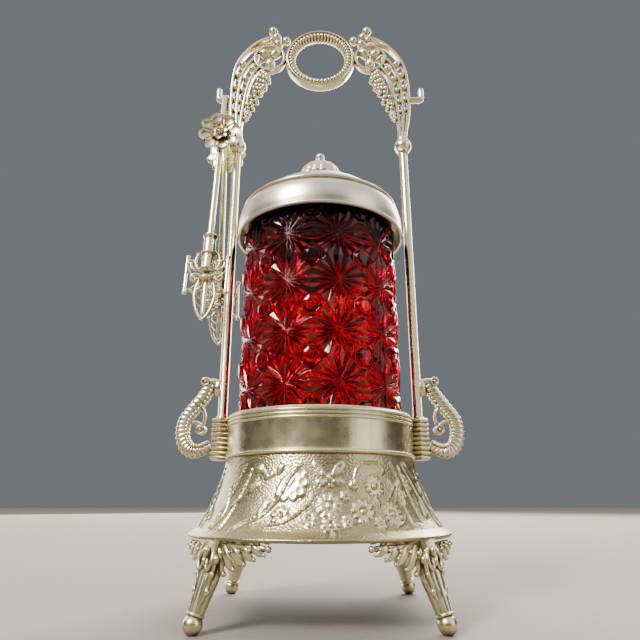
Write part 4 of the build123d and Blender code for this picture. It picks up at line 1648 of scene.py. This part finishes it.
@dataclass
class SideScroll:
    """The S-scroll at each side: feathered outside, beaded inside, with a rosette at each end."""

    stem: tuple[Spot, ...] = ((50.6, 96.4), (51.8, 92.6), (54.8, 87.4), (58.4, 82.2), (61.3, 77.6),
                              (62.1, 73.0), (61.5, 68.4), (59.5, 64.9), (56.4, 63.4), (52.6, 64.2),
                              (49.2, 66.0))
    bead_line: tuple[Spot, ...] = ((49.4, 93.0), (51.6, 87.4), (55.4, 82.4), (58.8, 78.4), (60.2, 74.0),
                                   (59.6, 69.6), (57.4, 66.6), (54.0, 66.2), (50.8, 67.6))
    beads: int = 26

    def build(self) -> None:
        """Makes both scrolls."""
        bm = bmesh.new()

        def feather(t: float, angle: float) -> float:
            """Slanting ridges over the outer half, close above and coarse below."""
            count = 26.0 if t < 0.5 else 22.0
            depth = 0.045 + 0.035 * min(max((t - 0.45) * 8, 0), 1)
            slant = 1 + depth * math.cos(TAU * count * t + 2.4 * math.cos(angle))
            return slant * (1 - 0.12 * max(0.0, math.cos(angle - math.pi / 2)) ** 8)

        swept(bm, smooth_path(self.stem, 20),
              lambda t: 0.9 + 2.2 * math.sin(math.pi * (0.1 + 0.8 * t)) ** 0.8,
              lambda t: 1.1 + 1.1 * math.sin(math.pi * (0.08 + 0.84 * t)) ** 0.6,
              sides=18, relief=feather)
        swept(bm, smooth_path(self.bead_line, 6), keep(0.7), keep(1.2), sides=10)
        line = smooth_path(self.bead_line, 16)
        for k in range(self.beads):
            spot = line[round(k * (len(line) - 1) / (self.beads - 1))]
            for face in (-1, 1):
                bead(bm, (spot.x, face * 1.15, spot.z), 1.0)
        curl = smooth_path([(61.8, 74.4), (59.8, 76.4), (57.2, 76.9), (54.8, 76.0), (53.4, 74.0)], 6)
        swept(bm, curl, eased(1.0, 0.7, 0.08), eased(1.4, 1.0, 0.08), sides=10)
        neck = smooth_path([(54.6, 84.4), (53.0, 81.6), (52.4, 78.6), (53.2, 75.4)], 6)
        swept(bm, neck, eased(0.7, 0.7, 0.08), eased(1.2, 0.9, 0.08), sides=10)
        for x, z, size in ((54.0, 73.4, 2.2), (53.0, 95.4, 2.1)):
            for face in (-1, 1):
                tilt = Matrix.Translation((x, face * 1.6, z)) @ Matrix.Rotation(math.radians(90), 4, "X")
                turned(bm, [(0.0, -1.2), (size, -1.2), *roll(size - 0.5, 0.0, 0.5, -60, 180, 8),
                            (0.5, -0.2), (0.0, -0.2)], 24, place=tilt)
                bead(bm, (x, face * 1.7, z), 0.75)
        pad = [Vector((47.0, 0, z)) for z in (88.6, 90.0, 92.6, 95.2, 96.8)]
        swept(bm, pad, eased(2.6, 2.2, 0.3), eased(1.9, 1.8, 0.2), sides=14)
        swept(bm, smooth_path([(47.2, 94.6), (49.4, 95.6), (52.4, 95.6)], 4), keep(1.5), keep(1.6), sides=12)
        both_sides("scroll", bm, CAST_SILVER, "side_scroll", 55)


# ---- tongs --------------------------------------------------------------------------------------
@dataclass
class Tongs:
    """The spring tongs on the left hook: a bent strip and two wires with flowers, claws and bowls.

    The front arm is made hanging straight down from the bend's centre and is then leaned out. The back
    arm is its mirror.
    """

    lean: float = 7.5
    bend_radius: float = 2.7
    strip_half: Spot = (1.5, 0.5)
    strip_length: float = 34.0
    wire: float = 1.4
    wire_end: float = 95.0
    bow_arc: float = 76.0
    flower_drop: float = 28.5
    flower_radius: float = 10.9
    flower_base: float = 3.15
    flower_nod: float = 11.0
    ferrule_top: float = 91.4
    ferrule_end: float = 112.0
    ferrule: float = 2.85
    fan_drop: float = 6.0
    bowl_length: float = 24.6
    bowl_half: float = 4.55

    def __post_init__(self) -> None:
        """Takes the bend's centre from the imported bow."""
        low, high = span("tongs_bow")
        self.centre = Vector(((low.x + high.x) / 2, 0.0, high.z - self.bend_radius - self.strip_half[1]))

    def on_arm(self) -> Matrix:
        """Moves a straight arm's piece to its leaning place."""
        return Matrix.Translation(self.centre) @ Matrix.Rotation(math.radians(-self.lean), 4, "X")

    def both_arms(self, name: str, bm: bmesh.types.BMesh, finish: PlateFinish, node: str,
                  crease: float = 45.0) -> None:
        """Finishes a piece of the front arm and its twin at the back.

        Args:
            name: the pieces' name, before the arm.
            bm: the mesh on the straight front arm.
            finish: what their surface is.
            node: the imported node's name, before the arm.
            crease: edges sharper than this many degrees stay crisp.
        """
        bmesh.ops.translate(bm, vec=(0, -self.bend_radius, 0), verts=bm.verts)
        bmesh.ops.transform(bm, matrix=self.on_arm(), verts=bm.verts)
        closed_mesh(bm)
        twin = mirrored(bm, (1, -1, 1))
        for arm, mesh in (("front", bm), ("back", twin)):
            finish_piece(f"{name}_{arm}", mesh, finish, f"arm_{arm}", (f"{node}_{arm}",), crease)

    def bend(self, start: float, end: float) -> list[Vector]:
        """Points along the spring's bend, between two angles from the top in degrees."""
        turns = [math.radians(start + (end - start) * i / 16) for i in range(17)]
        reach = self.bend_radius
        return [self.centre + Vector((0, -reach * math.sin(turn), reach * math.cos(turn))) for turn in turns]

    def spring(self) -> None:
        """Makes the bend over the hook and the short stretches that flex between it and the arms."""
        half_w, half_d = self.strip_half
        bm = bmesh.new()
        swept(bm, self.bend(-self.bow_arc, self.bow_arc), keep(half_d), keep(half_w), face=Vector((1, 0, 0)),
              sides=16, square=0.3)
        finish_piece("tongs_spring", closed_mesh(bm), WIRE_SILVER, "tongs_bow", ("tongs_bow",), 50)
        foot = self.on_arm() @ Vector((0, -self.bend_radius, -2.5))
        for arm, way in (("front", 1), ("back", -1)):
            path = [*self.bend(self.bow_arc - 14, 90 - self.lean), foot]
            bm = bmesh.new()
            swept(bm, path, keep(half_d + 0.04), keep(half_w + 0.05), face=Vector((1, 0, 0)), sides=16,
                  square=0.3)
            bmesh.ops.scale(bm, vec=(1, way, 1), verts=bm.verts)
            piece = finish_piece(f"tongs_flex_{arm}", closed_mesh(bm), WIRE_SILVER, "", crease=50)
            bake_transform(piece)

    def strips(self) -> None:
        """Makes the arms: a flat strip that turns into a round wire."""
        half_w, half_d = self.strip_half
        turn_share = self.strip_length / self.wire_end

        def into_wire(half: float) -> Taper:
            """Half the strip's size, until it turns into the wire."""
            return lambda t: half + (self.wire - half) * min(max((t - turn_share + 0.03) / 0.03, 0.0), 1.0)

        path = [Vector((0, 0, -self.wire_end * i / 120)) for i in range(121)]
        bm = bmesh.new()
        swept(bm, path, into_wire(half_w), into_wire(half_d), sides=20, square=0.75)
        self.both_arms("arm_strip", bm, WIRE_SILVER, "tongs_arm", 60)

    def petal(self, bm: bmesh.types.BMesh, turn: float, root: float, tip: float, half: float, low: float,
              rise: float) -> None:
        """Adds one cupped petal to a flower that looks up.

        Args:
            bm: the flower's mesh.
            turn: which way it points, in degrees.
            root: the radius it starts at.
            tip: the radius it reaches.
            half: half its greatest width.
            low: its root's height.
            rise: how much higher its tip is.
        """
        before = set(bm.verts)
        bmesh.ops.create_grid(bm, x_segments=11, y_segments=9, size=1.0)
        fresh = [vert for vert in bm.verts if vert not in before]
        for vert in fresh:
            u = (vert.co.x + 1) / 2
            side = vert.co.y
            width = half * math.sin(math.pi * (0.1 + 0.56 * u)) ** 0.8
            reach = root + (tip - root) * u * (1 - 0.26 * side * side * u)
            lift = low + rise * u + 0.75 * side * side * u ** 0.8 + 0.8 * max((u - 0.72) / 0.28, 0.0) ** 2
            vert.co = (reach, side * width, lift)
        faces = list({face for vert in fresh for face in vert.link_faces})
        thick = bmesh.ops.solidify(bm, geom=faces, thickness=0.55)["geom"]
        verts = set(fresh) | {part for part in thick if isinstance(part, bmesh.types.BMVert)}
        bmesh.ops.rotate(bm, cent=(0, 0, 0), matrix=Matrix.Rotation(math.radians(turn), 3, "Z"),
                         verts=list(verts))

    def flower(self) -> None:
        """Makes the two-ring flower on its neck."""
        bm = bmesh.new()
        base = self.flower_base
        for k in range(8):
            self.petal(bm, 45 * k + 10, 1.9, self.flower_radius, 3.75, base + 0.3, 0.7)
        for k in range(6):
            self.petal(bm, 60 * k + 25, 1.2, 5.2, 1.9, base + 1.3, 0.5)
        turned(bm, [(0.0, 0.6), (1.7, 0.6), (1.8, base - 0.8), (2.6, base), (3.6, base + 1.0),
                    (2.4, base + 1.7), (0.0, base + 1.9)], 28)
        for k in range(9):
            turn = TAU * k / 9
            bead(bm, (1.7 * math.cos(turn), 1.7 * math.sin(turn), base + 2.3), 0.5)
        bead(bm, (0, 0, base + 2.1), 0.9, fine=True)
        bmesh.ops.rotate(bm, cent=(0, 0, 0), matrix=Matrix.Rotation(math.radians(90 + self.flower_nod), 3,
                                                                    "X"),
                         verts=bm.verts)
        bmesh.ops.translate(bm, vec=(0, 0, -self.flower_drop), verts=bm.verts)
        self.both_arms("flower", bm, CAST_SILVER, "tongs_flower", 55)

    def ferrule_tube(self) -> None:
        """Makes the smooth ferrules with their caps."""
        top = -self.ferrule_top
        end = -self.ferrule_end
        out = self.ferrule
        bm = bmesh.new()
        turned(bm, [(0.0, top + 0.1), (1.9, top + 0.1), *roll(out, top - 0.8, 0.6, 60, -60, 6),
                    (out - 0.1, top - 1.8), (out, top - 4.0), (out, end + 3.0), (out + 0.25, end + 1.6),
                    (out + 0.25, end + 1.0), (out - 0.2, end), (0.0, end)], 36)
        self.both_arms("ferrule", bm, CAST_SILVER, "tongs_ferrule")

    def claw(self) -> None:
        """Makes the openwork fans: heart scrolls, spikes and straight side bars with end knobs."""
        top = -self.ferrule_top - self.fan_drop
        half = bmesh.new()
        lines = (((1.6, -14.5), (4.2, -12.6), (5.7, -9.0), (4.9, -5.2), (3.2, -3.6), (2.0, -4.9),
                  (2.6, -6.6)),
                 ((1.6, -18.5), (5.2, -17.4), (8.2, -14.2), (9.2, -10.0)),
                 ((1.6, -19.6), (5.2, -22.0), (9.0, -24.2)),
                 ((3.9, -13.0), (6.8, -12.4), (7.9, -9.6), (6.9, -7.8), (6.1, -8.6)),
                 ((1.7, -16.4), (4.4, -15.4), (6.4, -15.6), (7.2, -17.4), (6.2, -19.0), (4.9, -18.6)),
                 ((1.6, -21.2), (3.8, -23.8), (5.6, -24.9), (6.7, -23.8)))
        for line in lines:
            path = smooth_path([(x, top + z) for x, z in line], 5)
            swept(half, path, eased(0.62, 0.5, 0.1), eased(0.75, 0.65, 0.1), sides=8)
            bead(half, path[-1], 0.85)
        bar = [Vector((9.45, 0, top - 6.4 - 18.4 * i / 12)) for i in range(13)]
        swept(half, bar, keep(0.62), keep(0.75), sides=8, square=0.7)
        for z in (-6.2, -25.0):
            bead(half, (9.45, 0, top + z), 1.05, fine=True)
        sharp = eased(0.55 * 1.05, 0.55 * 0.05)
        for x, z, reach in ((5.2, -4.8, 1.5), (8.0, -8.2, 1.3), (3.0, -3.4, 1.5), (9.0, -14.2, 1.2)):
            spike = [Vector((x, 0, top + z)), Vector((x + 0.3, 0, top + z + 0.6 * reach)),
                     Vector((x + 0.6, 0, top + z + reach))]
            swept(half, spike, sharp, sharp, sides=7)
        bm = mirrored(half)
        absorb(bm, half)
        for z in (-4.6, -13.0, -18.2):
            turned(bm, [(0.0, top + z - 0.8), *roll(self.ferrule + 0.25, top + z, 0.6, -90, 90, 6),
                        (0.0, top + z + 0.8)], 28)
        self.both_arms("claw", bm, CAST_SILVER, "tongs_claw", 55)

    def bowl(self) -> None:
        """Makes the pierced almonds that grip."""
        top = -self.ferrule_end
        long = self.bowl_length
        half = bmesh.new()
        side = smooth_path([(0.0, top - 0.2), (0.55 * self.bowl_half, top - 0.12 * long),
                            (0.9 * self.bowl_half, top - 0.3 * long), (self.bowl_half, top - 0.5 * long),
                            (0.72 * self.bowl_half, top - 0.76 * long),
                            (0.3 * self.bowl_half, top - 0.92 * long), (0.0, top - long + 0.7)], 6)
        swept(half, side, eased(0.75, 0.65, 0.04), eased(0.8, 0.75, 0.04), sides=10)
        for share, reach in ((0.3, 0.85), (0.46, 0.95), (0.62, 0.85)):
            rib = smooth_path([(0.3, top - (share + 0.10) * long),
                               (0.5 * self.bowl_half, top - (share + 0.07) * long),
                               (reach * self.bowl_half, top - share * long)], 4)
            swept(half, rib, keep(0.45), keep(0.55), sides=7)
        bm = mirrored(half)
        absorb(bm, half)
        tine = [Vector((0, 0, top + 0.4 - (long - 1.2) * i / 20)) for i in range(21)]
        swept(bm, tine, lambda t: 0.8 + 0.35 * math.sin(math.pi * t), eased(0.85, 0.7, 0.05), sides=10)
        bead(bm, (0, 0, top - long + 0.85), 0.95, (0.8, 0.8, 1.0))
        self.both_arms("bowl", bm, CAST_SILVER, "tongs_bowl", 55)

    def build(self) -> None:
        """Makes the tongs."""
        self.spring()
        self.strips()
        self.flower()
        self.ferrule_tube()
        self.claw()
        self.bowl()


# ---- studio -------------------------------------------------------------------------------------
@dataclass(frozen=True)
class Lamp:
    """One soft light: where it hangs, how wide and tall it is, its power, its colour and its aim's height."""

    name: str
    spot: tuple[float, float, float]
    size: tuple[float, float]
    watts: float
    colour: Colour
    aim_z: float

    def hang(self) -> None:
        """Hangs the light and points it at the object's middle line."""
        data = bpy.data.lights.new(self.name, "AREA")
        data.shape = "RECTANGLE"
        data.size, data.size_y = (side * MM for side in self.size)
        data.energy = self.watts
        data.color = self.colour
        lamp = bpy.data.objects.new(self.name, data)
        lamp.location = Vector(self.spot) * MM
        aim = Vector((0.0, 0.0, self.aim_z))
        lamp.rotation_euler = (aim - Vector(self.spot)).to_track_quat("-Z", "Y").to_euler()
        bpy.context.collection.objects.link(lamp)


@dataclass
class Studio:
    """A pale floor, soft lights and the camera."""

    lens: float = 30.77
    eye: tuple[float, float, float] = (0.0, -251.1, 43.4)
    pitch: float = 18.18
    floor_size: float = 6000.0
    floor_drop: float = 0.02
    pale: Colour = (0.30, 0.275, 0.24)
    behind: Colour = (0.15, 0.16, 0.17)
    exposure: float = 0.15
    sky: tuple[tuple[float, float], ...] = ((0.0, 0.10), (0.46, 0.16), (0.50, 0.05), (0.62, 0.10),
                                            (0.74, 0.42), (1.0, 0.95))
    lamps: tuple[Lamp, ...] = (
        Lamp("key", (-840, -960, 1090), (460, 460), 24.0, (1.0, 0.96, 0.88), 150.0),
        Lamp("fill", (1240, -760, 400), (1000, 1600), 5.2, (1.0, 0.98, 0.95), 120.0),
        Lamp("rim", (620, 1240, 1000), (1200, 1200), 30.0, (1.0, 0.97, 0.92), 150.0),
        Lamp("through", (-760, 1500, 420), (2400, 1300), 26.0, (1.0, 0.97, 0.94), 110.0))

    def camera(self) -> None:
        """Puts the camera low in front of the object, looking up at it."""
        data = bpy.data.cameras.new("camera")
        data.lens = self.lens
        data.sensor_width = 36.0
        data.clip_start = 0.01
        camera = bpy.data.objects.new("camera", data)
        camera.location = Vector(self.eye) * MM
        camera.rotation_euler = (math.radians(90 + self.pitch), 0.0, 0.0)
        bpy.context.collection.objects.link(camera)
        bpy.context.scene.camera = camera

    def floor(self) -> None:
        """Lays the pale floor."""
        bm = bmesh.new()
        bmesh.ops.create_grid(bm, x_segments=1, y_segments=1, size=self.floor_size / 2 * MM)
        bmesh.ops.translate(bm, vec=(0, 0, -self.floor_drop * MM), verts=bm.verts)
        mesh = bpy.data.meshes.new("floor")
        bm.to_mesh(mesh)
        bm.free()
        stone, bench, shader = new_material("pale_floor")
        shader.inputs["Roughness"].default_value = 0.75
        where = bench.place()
        speck = bench.remap(bench.noise(where, 260.0, 5.0), 0.3, 0.7)
        darker = tuple(part * 0.9 for part in self.pale)
        bench.join(bench.blend(speck, self.pale, darker), shader.inputs["Base Color"])
        mesh.materials.append(stone)
        floor = bpy.data.objects.new("floor", mesh)
        bpy.context.collection.objects.link(floor)

    def world(self) -> None:
        """Surrounds the object with a studio that has pale and dark parts for the metal to reflect."""
        world = bpy.data.worlds.new("studio")
        world.use_nodes = True
        bpy.context.scene.world = world
        bench = NodeBench(world.node_tree)
        nodes = world.node_tree.nodes
        nodes.clear()
        where = bench.add("ShaderNodeTexCoord").outputs["Generated"]
        parts = bench.add("ShaderNodeSeparateXYZ")
        bench.join(where, parts.inputs[0])
        ramp = bench.add("ShaderNodeValToRGB")
        bench.join(bench.remap(parts.outputs["Z"], -1.0, 1.0), ramp.inputs[0])
        stops = ramp.color_ramp.elements
        while len(stops) < len(self.sky):
            stops.new(0.5)
        for stop, (place, value) in zip(stops, self.sky):
            stop.position = place
            stop.color = (value, value * 0.985, value * 0.95, 1.0)
        reflected = bench.add("ShaderNodeBackground")
        bench.join(ramp.outputs[0], reflected.inputs["Color"])
        seen = bench.add("ShaderNodeBackground")
        seen.inputs["Color"].default_value = (*self.behind, 1.0)
        chosen = bench.add("ShaderNodeMixShader")
        bench.join(bench.add("ShaderNodeLightPath").outputs["Is Camera Ray"], chosen.inputs[0])
        bench.join(reflected.outputs[0], chosen.inputs[1])
        bench.join(seen.outputs[0], chosen.inputs[2])
        bench.join(chosen.outputs[0], bench.add("ShaderNodeOutputWorld").inputs["Surface"])

    def build(self) -> None:
        """Sets the studio up."""
        self.camera()
        self.floor()
        self.world()
        for lamp in self.lamps:
            lamp.hang()
        shown = bpy.context.scene.view_settings
        shown.view_transform = "AgX"
        shown.look = "AgX - Medium High Contrast"
        shown.exposure = self.exposure


FEET: dict[str, float] = {"foot_front_left": 225.0, "foot_front_right": 315.0, "foot_back_left": 135.0,
                          "foot_back_right": 45.0}


# ---- small parts --------------------------------------------------------------------------------
SMALL_PARTS: dict[str, PlateFinish] = {
    "seat_plate": BRUSHED_SILVER, "lid_collar": SPUN_SILVER, "rod_nut_left": FASTENER_BRASS,
    "rod_nut_right": FASTENER_BRASS, "finial_nut": FASTENER_BRASS, "tongs_rivet_front": FASTENER_BRASS,
    "tongs_rivet_back": FASTENER_BRASS,
}


def dress_small_parts() -> None:
    """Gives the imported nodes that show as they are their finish."""
    for node, finish in SMALL_PARTS.items():
        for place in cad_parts[node].material_slots:
            place.material = finish.material()
        log.info("%s: dressed in %s", node, finish.name)


def main() -> None:
    """Builds the castor, piece by piece."""
    logging.basicConfig(level=logging.INFO, format="%(name)s %(message)s")
    Studio().build()
    dress_small_parts()
    GlassJar().build()
    Lid().build()
    HolderBand().build()
    EmbossedSkirt().build()
    for name, azimuth in FEET.items():
        CastFoot(name, azimuth).build()
    BailPosts().build()
    HandleRing().build()
    BailCrest().build()
    TongsHook().build()
    SideScroll().build()
    Tongs().build()


if __name__ == "__main__":
    main()
